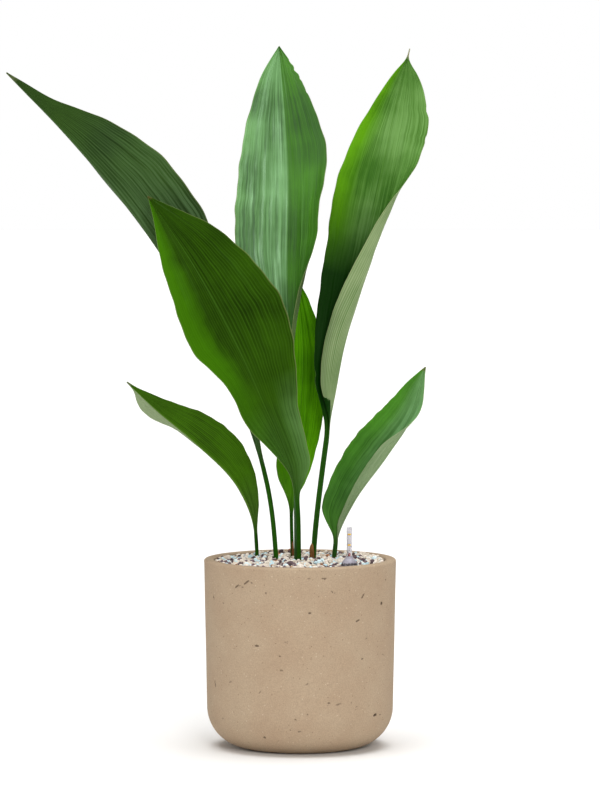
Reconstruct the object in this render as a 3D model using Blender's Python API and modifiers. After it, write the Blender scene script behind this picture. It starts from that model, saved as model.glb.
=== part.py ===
"""Potted cast iron plant: seven leathery leaves on a buried rhizome, in a round planter of mineral granules.

Metres, +Z up. The origin is the centre of the planter's foot, on the ground, and -Y is the front.
The sizes below are in millimetres and degrees.
"""

import math
import random

import bmesh
import bpy
import numpy as np
from mathutils import Vector, geometry

MM = 0.001
TOUCH_GAP = 0.3

# Planter
POT_RADIUS = 100.0
POT_FOOT_RADIUS = 97.0
POT_HEIGHT = 196.0
POT_WALL = 11.0
POT_FLOOR = 14.0
POT_FOOT_ROUND = 42.0
POT_LIP_ROUND = 2.5
POT_STEPS = 48

# Granule fill: a bed of lumps, larger than life
FILL_LEVEL = 191.5
FILL_HEAP = 1.2
LUMP_SPACING = 6.7
LUMP_JITTER = 0.9
LUMP_CROWN = (1.0, 2.6)
LUMP_VALLEY = (-1.4, -0.2)
LUMPS_WITHIN = 0.975
FILL_SEED = 7

# Rhizome, with the feet of the leaves along it
RHIZOME_Z = 162.0
RHIZOME_RADIUS = 6.0
ROOT_RADIUS = 2.2
ROOT_DEPTH = 95.0
HOLE_GAP = 0.6
HOLE_TOP = 8.0
STALK_FOOT = RHIZOME_Z + RHIZOME_RADIUS + 0.7

# Leaves
STALK_GROOVE = 0.4
STALK_ROWS = 6
BLADE_ROWS = 22
COLUMNS = np.array((0.0, 0.07, 0.28, 0.52, 0.76, 1.0))
BLADE_THICKNESS = 0.8
MIDRIB_WIDTH = 0.09
MIDRIB_GROOVE = 0.5
KEEL = 1.6
PLEATS = 2.1
PLEAT_HEIGHT = 0.35
BLEND_SHARE = 0.16

# Dry sheaths round the feet of two stalks
SHEATH_THICKNESS = 0.7
SHEATH_ARC = 80.0
SHEATH_FLARE = 1.6
SHEATH_FOOT = 186.0
SHEATH_ROWS = 6
SHEATH_COLUMNS = 7
SHEATH_TAPER = 0.93
SHEATH_PLAY = 0.15

# Water gauge
GAUGE_PLACE = (51.0, -32.0)
GAUGE_STEPS = 20
HOUSING_RADIUS = 7.2
HOUSING_BORE = 6.2
HOUSING_FOOT = 17.3
SKIRT_RADIUS = 8.8
SKIRT_TOP = 201.5
SKIRT_RIM = 190.5
CAP_THICKNESS = 13.5
PLATE_THICKNESS = 1.5
SIGHT_RADIUS = 2.8
SIGHT_BORE = 1.9
SIGHT_TOP = 231.5
SIGHT_CAP = 1.2
SOCKET_DEPTH = 6.0
FLOAT_RADIUS = 5.4
FLOAT_HEIGHT = 45.0
ROD_RADIUS = 1.2
ROD_TOP = 204.6
ROD_PLAY = 0.6
SLOT_WIDTH = 3.0
SLOT_HEIGHT = 18.0
GAUGE_HOLE_FOOT = 8.0
GAUGE_HOLE_TOP = 215.0

# Each leaf. foot: its place on the rhizome; spine: x, y, z where its bend changes, from the granules to the
# tip; blade_from: where along the spine the blade starts; halves: blade share, left and right half-width;
# faces: blade share, azimuth and elevation that the upper face looks to (azimuth 0 is the front, 90 is +X);
# folds: blade share, then the rise from flat and the added curl of the left half and of the right half;
# wave: height, number and phase.
LEAVES = {
    "leaf_front": {
        "colour": "2C6A12", "stalk": 2.5, "foot": (0, 6),
        "spine": [(-1, 5, 194), (-5, -10, 270), (-40, -33, 365), (-105, -42, 495), (-157, -15, 573)],
        "blade_from": 0.17,
        "halves": [(0, 2.5, 2.5), (0.05, 3, 9), (0.1, 4, 20), (0.2, 15, 27), (0.3, 28, 34), (0.42, 31, 50),
                   (0.56, 46, 63), (0.7, 40, 55), (0.83, 26, 38), (0.93, 10, 16), (1, 0.5, 0.5)],
        "faces": [(0, 10, 0), (0.5, 0, 25), (1, -10, 30)],
        "folds": [(0, 35, 20, 30, 20), (0.5, 12, 0, 16, 0), (1, 20, 0, 20, 0)],
        "wave": (1.8, 3.5, 0.3),
    },
    "leaf_centre": {
        "colour": "37761C", "stalk": 2.2, "foot": (-4, 15),
        "spine": [(-4, 12, 193), (-6, 17, 335), (-14, 35, 485), (-13, 60, 595), (-22, 90, 729)],
        "blade_from": 0.33,
        "halves": [(0, 2.2, 2.2), (0.12, 17, 15), (0.28, 41, 36), (0.42, 54, 44), (0.58, 54, 46),
                   (0.72, 47, 43), (0.84, 34, 30), (0.93, 19, 16), (1, 0.5, 0.5)],
        "faces": [(0, 10, 0), (0.5, 0, -5), (1, 0, -5)],
        "folds": [(0, 45, 20, 45, 60), (0.15, 30, 0, 55, 80), (0.22, 20, 0, 40, 90), (0.3, 10, 0, 20, 98),
                  (0.4, 8, 0, 20, 65), (0.54, 8, 0, 20, 40), (0.66, 8, 0, 15, 18), (1, 15, 0, 20, 0)],
        "wave": (1.5, 4.0, 0.0),
    },
    "leaf_left": {
        "colour": "2A5218", "stalk": 2.5, "foot": (-24, 24),
        "spine": [(-25, 22, 193), (-33, 22, 265), (-60, 23, 355), (-150, 14, 522), (-240, -8, 635),
                  (-301, -34, 700)],
        "blade_from": 0.18,
        "halves": [(0, 2.5, 2.5), (0.1, 10, 9), (0.25, 28, 22), (0.4, 48, 38), (0.55, 61, 46), (0.68, 59, 44),
                   (0.8, 39, 32), (0.9, 14, 14), (0.96, 6, 6), (1, 0.5, 0.5)],
        "faces": [(0, 130, 20), (0.5, 146, 31), (1, 146, 31)],
        "folds": [(0, 45, 10, 45, 10), (0.5, 45, 0, 43, 0), (1, 45, 0, 43, 0)],
        "wave": (1.5, 4.0, 0.0),
    },
    "leaf_right": {
        "colour": "3F861B", "stalk": 2.9, "foot": (13, 30),
        "spine": [(14, 30, 194), (24, 34, 290), (44, 44, 413), (76, 57, 550), (101, 65, 670), (115, 61, 726)],
        "blade_from": 0.25,
        "halves": [(0, 2.9, 2.9), (0.1, 17, 20), (0.24, 29, 34), (0.37, 36, 44), (0.5, 41, 46), (0.62, 45, 46),
                   (0.74, 38, 42), (0.86, 22, 35), (0.94, 9, 16), (0.975, 1.5, 2), (1, 0.5, 0.5)],
        "faces": [(0, -10, 0), (0.5, -10, -5), (1, 0, 0)],
        "folds": [(0, 40, 20, 50, 60), (0.1, 25, 10, 60, 120), (0.24, 12, 0, 55, 150), (0.37, 8, 0, 35, 145),
                  (0.5, 6, 0, 20, 130), (0.6, 6, 0, 10, 110), (0.68, 6, 0, 15, 60), (0.78, 6, 0, 12, 5),
                  (1, 15, 0, 15, 0)],
        "wave": (1.5, 4.0, 0.0),
    },
    "leaf_behind": {
        "colour": "347A18", "stalk": 1.9, "foot": (-7, 44),
        "spine": [(-8, 45, 194), (-9, 54, 242), (0, 72, 335), (3, 84, 400), (-3, 104, 482)],
        "blade_from": 0.2,
        "halves": [(0, 1.9, 1.9), (0.1, 15, 10), (0.18, 26, 16), (0.3, 28, 21), (0.5, 27, 26), (0.7, 25, 24),
                   (0.85, 16, 15), (0.94, 9, 8), (1, 0.5, 0.5)],
        "faces": [(0, 10, 0), (1, 10, 10)],
        "folds": [(0, 40, 10, 40, 10), (0.5, 20, 0, 20, 0), (1, 20, 0, 20, 0)],
        "wave": (1.0, 3.0, 0.0),
    },
    "leaf_low_left": {
        "colour": "2F6A1C", "stalk": 2.0, "foot": (-44, 40),
        "spine": [(-45, 40, 194), (-50, 36, 238), (-62, 30, 265), (-110, 6, 318), (-150, -8, 353),
                  (-179, -16, 381)],
        "blade_from": 0.16,
        "halves": [(0, 2.0, 2.0), (0.12, 8, 8), (0.28, 22, 18), (0.45, 33, 24), (0.62, 30, 24), (0.78, 18, 22),
                   (0.88, 9, 16), (0.95, 3, 4), (1, 0.5, 0.5)],
        "faces": [(0, 130, 20), (0.5, 146, 31), (1, 146, 31)],
        "folds": [(0, 45, 10, 45, 10), (0.5, 40, 0, 38, 0), (0.65, 36, 0, 32, 0), (0.8, 32, 0, 8, 0),
                  (0.9, 30, 0, 8, 0), (1, 25, 0, 25, 0)],
        "wave": (1.0, 3.0, 0.0),
    },
    "leaf_low_right": {
        "colour": "3A7C1C", "stalk": 2.5, "foot": (36, 38),
        "spine": [(36, 38, 194), (40, 36, 220), (55, 29, 252), (90, 14, 302), (115, 3, 342), (130, -6, 396)],
        "blade_from": 0.13,
        "halves": [(0, 2.5, 2.5), (0.06, 9, 5), (0.12, 21, 7), (0.28, 33, 12), (0.45, 40, 16), (0.62, 36, 20),
                   (0.78, 28, 16), (0.9, 16, 6), (1, 0.5, 0.5)],
        "faces": [(0, -30, 10), (0.5, -25, 15), (1, -15, 20)],
        "folds": [(0, 30, 20, 60, 40), (0.3, 15, 0, 80, 40), (0.6, 10, 0, 80, 30), (0.8, 10, 0, 40, 0),
                  (1, 15, 0, 15, 0)],
        "wave": (1.0, 3.0, 0.0),
    },
}

# The stalks that keep a dry sheath, with the side that it stands on and its height over its foot
SHEATHS = {
    "dry_sheath_right": ("leaf_right", -60, 23),
    "dry_sheath_behind": ("leaf_behind", 20, 24),
}

# Rhizome routes through the leaves' feet, and where the roots leave it and head to (azimuth)
RHIZOME_ROUTES = (
    [(-53, 45), (-44, 40), (-24, 24), (-4, 15), (13, 30), (36, 38), (44, 42)],
    [(-4, 15), (0, 6), (2, -4)],
    [(-18, 19), (-13, 32), (-7, 44), (-5, 51)],
)
ROOTS = (((-36, 33), 200), ((-14, 19), 290), ((1, 0), 265), ((6, 23), 330), ((26, 35), 20), ((-9, 40), 100))


def through(table, at):
    """Smooth curve through a table's rows, whose first number says where each row stands."""
    table = np.asarray(table, float)
    x, y = table[:, 0], table[:, 1:]
    slope = np.gradient(y, x, axis=0)
    i = np.clip(np.searchsorted(x, at, side="right") - 1, 0, len(x) - 2)
    span = (x[i + 1] - x[i])[:, None]
    t = (np.asarray(at) - x[i])[:, None] / span
    start = (1 + 2 * t) * (1 - t) ** 2 * y[i] + t * (1 - t) ** 2 * span * slope[i]
    return start + t * t * (3 - 2 * t) * y[i + 1] + t * t * (t - 1) * span * slope[i + 1]


def by_length(knots):
    """Points as a table that starts each row with its share of the whole length."""
    knots = np.array(knots, float)
    reach = np.concatenate([[0.0], np.cumsum(np.linalg.norm(np.diff(knots, axis=0), axis=1))])
    return np.column_stack([reach / reach[-1], knots])


def unit(vectors):
    return vectors / np.linalg.norm(vectors, axis=-1, keepdims=True)


def spine_of(leaf):
    return by_length([(*leaf["foot"], STALK_FOOT)] + leaf["spine"])


def stalk_path(leaf, heights):
    """Points of a stalk at the given heights near its foot."""
    path = through(spine_of(leaf), np.linspace(0, 0.3, 60))
    return np.column_stack([np.interp(heights, path[:, 2], path[:, i]) for i in (0, 1)] + [heights])


def leaf_frames(leaf, shares, blade):
    """Points on the spine, the leaf's right side there and its upper face's normal."""
    spine = spine_of(leaf)
    step = 0.004
    along = unit(through(spine, np.minimum(shares + step, 1)) - through(spine, np.maximum(shares - step, 0)))
    azimuth, elevation = np.radians(through(leaf["faces"], blade)).T
    facing = np.stack([np.sin(azimuth) * np.cos(elevation), -np.cos(azimuth) * np.cos(elevation),
                       np.sin(elevation)], axis=1)
    right = unit(np.cross(along, facing))
    return through(spine, shares), right, np.cross(right, along)


def half_section(leaf, side, blade, columns):
    """One half of the leaf's section, as places across and up for its upper and its lower face.

    The blade leaves the midrib at a rise and curls evenly over its width, with pleats and a wave that
    grows to the margin. The stalk is a round with a groove on its upper face. The two blend at the base.
    """
    half = (1 + side) // 2
    width = through(leaf["halves"], blade)[:, half, None]
    rise, curl = np.radians(through(leaf["folds"], blade)).T[2 * half:2 * half + 2, :, None]
    curl = np.where(np.abs(curl) < 1e-6, 1e-6, curl)
    angle = rise + curl * columns
    across = side * width * (np.sin(angle) - np.sin(rise)) / curl
    up = width * (np.cos(rise) - np.cos(angle)) / curl
    lean = np.where(columns == 0, 0, -side * np.sin(angle))
    stand = np.where(columns == 0, 1, np.cos(angle))

    height, waves, phase = leaf["wave"]
    ripple = height * np.sin(2 * np.pi * (waves * blade + phase)) * np.sqrt(np.sin(np.pi * blade).clip(0))
    pleat = PLEAT_HEIGHT * np.cos(2 * np.pi * PLEATS * columns) * (columns > MIDRIB_WIDTH)
    sway = side * ripple[:, None] * columns ** 2 + pleat
    near_midrib = np.exp(-(columns / MIDRIB_WIDTH) ** 2)
    top = sway + BLADE_THICKNESS / 2 - MIDRIB_GROOVE * near_midrib
    bottom = sway - BLADE_THICKNESS / 2 - KEEL * (1.3 - blade[:, None]) * near_midrib

    turn = np.radians(70 * columns)
    groove = leaf["stalk"] * (1 - STALK_GROOVE * np.exp(-(columns / 0.35) ** 2))
    stalk_top = side * groove * np.sin(turn), groove * np.cos(turn)
    stalk_bottom = side * leaf["stalk"] * np.sin(turn), -leaf["stalk"] * np.cos(turn)

    blend = np.clip(blade / BLEND_SHARE, 0, 1)[:, None]
    blend = blend * blend * (3 - 2 * blend)
    return [
        (blend * (across + lean * offset) + (1 - blend) * stalk[0],
         blend * (up + stand * offset) + (1 - blend) * stalk[1])
        for offset, stalk in ((top, stalk_top), (bottom, stalk_bottom))
    ]


def leaf_faces(leaf):
    """The leaf's upper and lower face, each as rows of points from the left margin to the right one."""
    start = leaf["blade_from"]
    stalk_shares = np.linspace(0, start, STALK_ROWS, endpoint=False)
    shares = np.concatenate([stalk_shares, np.linspace(start, 1, BLADE_ROWS)])
    blade = np.clip((shares - start) / (1 - start), 0, 1)
    points, right, normal = leaf_frames(leaf, shares, blade)
    left_half, right_half = (half_section(leaf, side, blade, COLUMNS) for side in (-1, 1))
    faces = []
    for (left_x, left_z), (right_x, right_z) in zip(left_half, right_half):
        x = np.concatenate([left_x[:, :0:-1], right_x], axis=1)[..., None]
        z = np.concatenate([left_z[:, :0:-1], right_z], axis=1)[..., None]
        faces.append((points[:, None] + x * right[:, None] + z * normal[:, None]) * MM)
    return faces


def finish(name, colour, roughness):
    """A material from an sRGB hex colour, turned to linear."""
    made = bpy.data.materials.new(name)
    made.use_nodes = True
    shader = made.node_tree.nodes["Principled BSDF"]
    steps = [int(colour[i:i + 2], 16) / 255 for i in (0, 2, 4)]
    linear = [c / 12.92 if c <= 0.04045 else ((c + 0.055) / 1.055) ** 2.4 for c in steps]
    shader.inputs["Base Color"].default_value = (*linear, 1)
    shader.inputs["Roughness"].default_value = roughness
    return made


def add_object(name, mesh, collection, material=None):
    made = bpy.data.objects.new(name, mesh)
    collection.objects.link(made)
    if material:
        mesh.materials.append(material)
    return made


def as_mesh(made, collection, material=None):
    """The object's evaluated shape as a plain mesh object in its place, with its caps welded."""
    bpy.context.view_layer.update()
    evaluated = made.evaluated_get(bpy.context.evaluated_depsgraph_get())
    mesh = bpy.data.meshes.new_from_object(evaluated)
    bm = bmesh.new()
    bm.from_mesh(mesh)
    bmesh.ops.remove_doubles(bm, verts=bm.verts, dist=1e-6)
    bmesh.ops.recalc_face_normals(bm, faces=bm.faces)
    bm.to_mesh(mesh)
    bm.free()
    mesh.materials.clear()
    name, place = made.name, made.matrix_world.copy()
    bpy.data.objects.remove(made)
    solid = add_object(name, mesh, collection, material)
    solid.matrix_world = place
    return solid


def blade_mesh(name, upper, lower):
    """A closed thin solid between two grids of points, its triangles split alike on both faces."""
    ring = np.concatenate([upper, lower[:, ::-1]], axis=1)
    rows, around = ring.shape[:2]
    half = around // 2
    faces = []
    for row in range(rows - 1):
        for k in range(around):
            a, b = row * around + k, row * around + (k + 1) % around
            c, d = b + around, a + around
            faces += [(a, b, c), (a, c, d)] if k < half else [(a, b, d), (b, c, d)]
    for first in (0, (rows - 1) * around):
        for k in range(half - 1):
            a, b, c, d = (first + i for i in (k, k + 1, around - 2 - k, around - 1 - k))
            faces += [(a, b, c), (a, c, d)]
    mesh = bpy.data.meshes.new(name)
    mesh.from_pydata(ring.reshape(-1, 3).tolist(), [], faces)
    bm = bmesh.new()
    bm.from_mesh(mesh)
    bmesh.ops.recalc_face_normals(bm, faces=bm.faces)
    bm.to_mesh(mesh)
    bm.free()
    mesh.shade_smooth()
    return mesh


def turned(name, profile, steps, collection, material=None, closed=False, place=(0, 0)):
    """A profile of (radius, height) turned about the vertical through place."""
    mesh = bpy.data.meshes.new(name)
    edges = [(i, i + 1) for i in range(len(profile) - 1)]
    if closed:
        edges.append((len(profile) - 1, 0))
    mesh.from_pydata([(r * MM, 0, z * MM) for r, z in profile], edges, [])
    made = add_object(name, mesh, collection, material)
    made.location = (place[0] * MM, place[1] * MM, 0)
    screw = made.modifiers.new("Turn", "SCREW")
    screw.steps = screw.render_steps = steps
    screw.use_merge_vertices = True
    screw.merge_threshold = 1e-6
    screw.use_smooth_shade = True
    return made


def tube(name, points, radii, collection, sides=8):
    """A round bar along a list of points in millimetres, with a radius at each point."""
    curve = bpy.data.curves.new(name, "CURVE")
    curve.dimensions = "3D"
    curve.bevel_depth = MM
    curve.bevel_resolution = sides // 2 - 2
    curve.use_fill_caps = True
    spline = curve.splines.new("POLY")
    spline.points.add(len(points) - 1)
    for knot, point, radius in zip(spline.points, points, radii):
        knot.co = (*(Vector(point) * MM), 1)
        knot.radius = radius
    made = bpy.data.objects.new(name, curve)
    collection.objects.link(made)
    return as_mesh(made, collection)


def arc(centre, radius, first, last, steps):
    """Points of a profile on an arc, from the first angle to the last."""
    angles = [math.radians(first + (last - first) * i / steps) for i in range(steps + 1)]
    return [(centre[0] + radius * math.cos(a), centre[1] + radius * math.sin(a)) for a in angles]


def pot_inside(gap=0.0):
    """The planter's inner wall and floor as a profile, from under the lip to the axis, moved in by a gap."""
    round_off = POT_FOOT_ROUND - POT_WALL
    centre = POT_FOOT_RADIUS - POT_FOOT_ROUND, POT_FLOOR + round_off
    return arc(centre, round_off - gap, 0, -90, 6) + [(0, POT_FLOOR + gap)]


def make_pot(parts):
    """Straight wall on a big rounded foot, with a softened lip and a flat floor inside."""
    foot = arc((POT_FOOT_RADIUS - POT_FOOT_ROUND, POT_FOOT_ROUND), POT_FOOT_ROUND, 0, -90, 9)
    lip_out = arc((POT_RADIUS - POT_LIP_ROUND, POT_HEIGHT - POT_LIP_ROUND), POT_LIP_ROUND, 90, 0, 3)
    inner = POT_RADIUS - POT_WALL
    lip_in = arc((inner + POT_LIP_ROUND, POT_HEIGHT - POT_LIP_ROUND), POT_LIP_ROUND, 180, 90, 3)
    profile = pot_inside()[::-1] + lip_in + lip_out + foot + [(0, 0)]
    return turned("pot", profile, POT_STEPS, parts, finish("stone_mix_cast", "BAA38A", 0.85))


def lump_height(i, j, chance):
    """One point in three of the lattice is a granule's crown, and the rest lie between them."""
    low, high = LUMP_CROWN if (i - j) % 3 == 0 else LUMP_VALLEY
    return chance.uniform(low, high)


def fill_top(rim):
    """Points of the granule bed's top: a jittered triangular lattice inside a ring of the wall's corners."""
    chance = random.Random(FILL_SEED)
    corners = [(rim * math.cos(2 * math.pi * k / POT_STEPS), rim * math.sin(2 * math.pi * k / POT_STEPS))
               for k in range(POT_STEPS)]
    points, heights = list(corners), [FILL_LEVEL] * POT_STEPS
    reach = int(rim / LUMP_SPACING * 1.3)
    for i in range(-reach, reach + 1):
        for j in range(-reach, reach + 1):
            x = LUMP_SPACING * (i + j / 2) + chance.uniform(-LUMP_JITTER, LUMP_JITTER)
            y = LUMP_SPACING * j * math.sqrt(0.75) + chance.uniform(-LUMP_JITTER, LUMP_JITTER)
            out = math.hypot(x, y) / rim
            height = lump_height(i, j, chance) + FILL_HEAP * (1 - out * out)
            if out < LUMPS_WITHIN:
                points.append((x, y))
                heights.append(FILL_LEVEL + height)
    return points, heights


def make_fill(parts, cutters):
    """The bed of granules: its lumpy top, closed by rings that follow the planter's inside."""
    wall_top = POT_RADIUS - POT_WALL - TOUCH_GAP
    slope = (POT_RADIUS - POT_FOOT_RADIUS) / (POT_HEIGHT - POT_FOOT_ROUND)
    rim = wall_top - slope * (POT_HEIGHT - FILL_LEVEL)
    points, heights = fill_top(rim)
    ring = [(k, (k + 1) % POT_STEPS) for k in range(POT_STEPS)]
    flat, _, faces, *_ = geometry.delaunay_2d_cdt([Vector(p) for p in points], ring, [], 1, 1e-4)
    bm = bmesh.new()
    corners = [bm.verts.new((p.x * MM, p.y * MM, z * MM)) for p, z in zip(flat, heights)]
    for face in faces:
        bm.faces.new([corners[i] for i in face])
    edges = [e for e in bm.edges if e.is_boundary]
    for radius, height in pot_inside(TOUCH_GAP)[:-1]:
        grown = bmesh.ops.extrude_edge_only(bm, edges=edges)["geom"]
        for corner in (v for v in grown if isinstance(v, bmesh.types.BMVert)):
            flat_part = Vector((corner.co.x, corner.co.y)).normalized() * radius * MM
            corner.co = (*flat_part, height * MM)
        edges = [e for e in grown if isinstance(e, bmesh.types.BMEdge)]
    bmesh.ops.holes_fill(bm, edges=edges)
    bmesh.ops.recalc_face_normals(bm, faces=bm.faces)
    mesh = bpy.data.meshes.new("granule_fill")
    bm.to_mesh(mesh)
    bm.free()
    made = add_object("granule_fill", mesh, parts, finish("mineral_granules", "CFC4B8", 0.9))
    cut = made.modifiers.new("Stalk, rhizome and gauge holes", "BOOLEAN")
    cut.operand_type = "COLLECTION"
    cut.collection = cutters
    return made


def rhizome_runs():
    """Every run of the rhizome and its roots: points and radii in millimetres."""
    runs = []
    for route in RHIZOME_ROUTES:
        at = np.linspace(0, 1, 2 * len(route) + 1)
        points = through(by_length([(x, y, RHIZOME_Z) for x, y in route]), at)
        radii = RHIZOME_RADIUS * (1 - 0.35 * (2 * at - 1).clip(0) ** 6)
        runs.append((points, radii))
    for (x, y), heading in ROOTS:
        way = math.cos(math.radians(heading)), math.sin(math.radians(heading))
        reach = (0, 8, 17, 25, 30, 33)
        drop = (0, 6, 18, 40, 68, ROOT_DEPTH)
        points = [(x + way[0] * r, y + way[1] * r, RHIZOME_Z - d) for r, d in zip(reach, drop)]
        radii = ROOT_RADIUS * np.linspace(1, 0.55, len(points))
        runs.append((points, radii))
    return runs


def make_rhizome(parts, helpers):
    """The creeping rhizome with its thick roots, as one body."""
    tubes = [tube(f"rhizome_run_{n}", points, radii, helpers)
             for n, (points, radii) in enumerate(rhizome_runs())]
    joined = tubes[0]
    others = bpy.data.collections.new("Rhizome runs")
    for other in tubes[1:]:
        others.objects.link(other)
    union = joined.modifiers.new("Join", "BOOLEAN")
    union.operation = "UNION"
    union.operand_type = "COLLECTION"
    union.collection = others
    joined.name = "rhizome"
    solid = as_mesh(joined, parts, finish("rhizome_skin", "8A6A48", 0.8))
    for other in tubes[1:]:
        bpy.data.objects.remove(other)
    bpy.data.collections.remove(others)
    return solid


def add_cutters(cutters):
    """Holes in the granules for the rhizome, the stalks with their sheaths, and the gauge."""
    for n, (points, radii) in enumerate(rhizome_runs()):
        tube(f"rhizome_hole_{n}", points, np.array(radii) + HOLE_GAP, cutters)
    sheathed = {leaf for leaf, *_ in SHEATHS.values()}
    for name, leaf in LEAVES.items():
        radius = leaf["stalk"] + HOLE_GAP
        if name in sheathed:
            radius += TOUCH_GAP + SHEATH_PLAY + SHEATH_THICKNESS + 0.25
        points = stalk_path(leaf, np.linspace(STALK_FOOT, FILL_LEVEL + HOLE_TOP, 5))
        points = np.vstack([(*leaf["foot"], RHIZOME_Z), points])
        tube(f"{name}_hole", points, [radius] * len(points), cutters, sides=12)
    gap = TOUCH_GAP + 0.1
    wide, narrow = SKIRT_RADIUS + gap, HOUSING_RADIUS + gap
    profile = [(0, GAUGE_HOLE_TOP), (wide, GAUGE_HOLE_TOP), (wide, SKIRT_RIM - gap),
               (narrow, SKIRT_RIM - gap), (narrow, GAUGE_HOLE_FOOT), (0, GAUGE_HOLE_FOOT)]
    turned("gauge_hole", profile, GAUGE_STEPS, cutters, place=GAUGE_PLACE)
    for cutter in cutters.objects:
        cutter.hide_render = True
        cutter.display_type = "WIRE"


def make_leaves(parts):
    for name, leaf in LEAVES.items():
        upper, lower = leaf_faces(leaf)
        add_object(name, blade_mesh(name, upper, lower), parts, finish(f"{name}_green", leaf["colour"], 0.35))


def make_sheath(name, leaf, side, height, parts, material):
    """A dry scale that wraps part of a stalk's foot and comes to a point."""
    up = np.linspace(0, 1, SHEATH_ROWS)
    centre = stalk_path(LEAVES[leaf], SHEATH_FOOT + height * up)
    turn = np.linspace(-1, 1, SHEATH_COLUMNS)
    angle = np.radians(side + SHEATH_ARC * (1 - SHEATH_TAPER * up[:, None] ** 2) * turn)
    inner = LEAVES[leaf]["stalk"] + TOUCH_GAP + SHEATH_PLAY + SHEATH_FLARE * up[:, None] ** 3
    faces = []
    for radius in (inner + SHEATH_THICKNESS, inner):
        x = centre[:, :1] + radius * np.sin(angle)
        y = centre[:, 1:2] - radius * np.cos(angle)
        z = np.repeat(centre[:, 2:], len(turn), axis=1)
        faces.append(np.stack([x, y, z], axis=-1) * MM)
    return add_object(name, blade_mesh(name, *faces), parts, material)


def make_gauge(parts, cutters):
    """The water gauge: housing with its skirt and slots, clear sight tube, and float on its rod."""
    grey = finish("gauge_grey", "A9A5B5", 0.5)
    socket = SIGHT_RADIUS + TOUCH_GAP
    ceiling = SKIRT_TOP - CAP_THICKNESS
    guide = ROD_RADIUS + ROD_PLAY
    plate = HOUSING_FOOT + PLATE_THICKNESS
    housing = turned("gauge_housing", [
        (socket, SKIRT_TOP), (socket + 1.2, SKIRT_TOP), (socket + 3.2, SKIRT_TOP - 4),
        (SKIRT_RADIUS - 0.6, SKIRT_RIM + 4), (SKIRT_RADIUS, SKIRT_RIM + 1.5), (SKIRT_RADIUS, SKIRT_RIM),
        (HOUSING_RADIUS, SKIRT_RIM),
        (HOUSING_RADIUS, HOUSING_FOOT), (0, HOUSING_FOOT), (0, plate), (HOUSING_BORE, plate),
        (HOUSING_BORE, ceiling), (guide, ceiling), (guide, SKIRT_TOP - SOCKET_DEPTH),
        (socket, SKIRT_TOP - SOCKET_DEPTH), (socket, SKIRT_TOP)], GAUGE_STEPS, parts, grey, place=GAUGE_PLACE)
    for n in range(2):
        mesh = bpy.data.meshes.new(f"gauge_slot_{n}")
        bm = bmesh.new()
        bmesh.ops.create_cube(bm, size=1)
        bmesh.ops.scale(bm, vec=(3 * HOUSING_RADIUS * MM, SLOT_WIDTH * MM, SLOT_HEIGHT * MM), verts=bm.verts)
        bm.to_mesh(mesh)
        bm.free()
        slot = add_object(f"gauge_slot_{n}", mesh, cutters)
        slot.location = (GAUGE_PLACE[0] * MM, GAUGE_PLACE[1] * MM, (plate + 1 + SLOT_HEIGHT / 2) * MM)
        slot.rotation_euler = (0, 0, math.radians(45 + 90 * n))
        slot.hide_render = True
        slot.display_type = "WIRE"
        cut = housing.modifiers.new(f"Slot {n}", "BOOLEAN")
        cut.object = slot

    foot = SKIRT_TOP - SOCKET_DEPTH + TOUCH_GAP
    turned("gauge_sight_tube", [
        (0, SIGHT_TOP), (SIGHT_RADIUS - 0.5, SIGHT_TOP), (SIGHT_RADIUS, SIGHT_TOP - 0.5), (SIGHT_RADIUS, foot),
        (SIGHT_BORE, foot), (SIGHT_BORE, SIGHT_TOP - SIGHT_CAP), (0, SIGHT_TOP - SIGHT_CAP)],
        GAUGE_STEPS, parts, finish("gauge_clear", "E4E2E6", 0.1), place=GAUGE_PLACE)

    low = plate + TOUCH_GAP
    high = low + FLOAT_HEIGHT
    turned("gauge_float", [
        (0, ROD_TOP), (ROD_RADIUS, ROD_TOP - 0.6), (ROD_RADIUS, high + 3), (FLOAT_RADIUS - 1, high),
        (FLOAT_RADIUS, high - 1), (FLOAT_RADIUS, low + 1), (FLOAT_RADIUS - 1, low), (0, low)],
        GAUGE_STEPS, parts, finish("gauge_red", "B3301F", 0.45), place=GAUGE_PLACE)


def main():
    for old in list(bpy.data.objects):
        bpy.data.objects.remove(old)
    parts, cutters, gauge_cutters, helpers = (
        bpy.data.collections.new(name)
        for name in ("Potted cast iron plant", "Granule cutters", "Gauge cutters", "Helpers"))
    for collection in (parts, cutters, gauge_cutters, helpers):
        bpy.context.scene.collection.children.link(collection)

    make_pot(parts)
    add_cutters(cutters)
    make_fill(parts, cutters)
    make_rhizome(parts, helpers)
    make_leaves(parts)
    husk = finish("dry_sheath_brown", "6E4A2C", 0.85)
    for name, (leaf, side, height) in SHEATHS.items():
        make_sheath(name, leaf, side, height, parts, husk)
    make_gauge(parts, gauge_cutters)
    bpy.data.collections.remove(helpers)


main()
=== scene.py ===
# %% [markdown]
# # A potted cast iron plant
#
# Seven leathery leaves rise on slim stalks from a bed of mineral granules, in a round planter cast from a
# stone mix. The construction comes packed, as a frame of plain solids. This lesson gives them their real
# surfaces: first the studio, then the planter, the leaves with the dry sheaths at their feet, the rhizome,
# the small water gauge, and the granules last. New pieces are numpy surfaces in metres, +Z up, with the front
# towards -Y, and they keep to the frame's box within a millimetre.

import math

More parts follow.
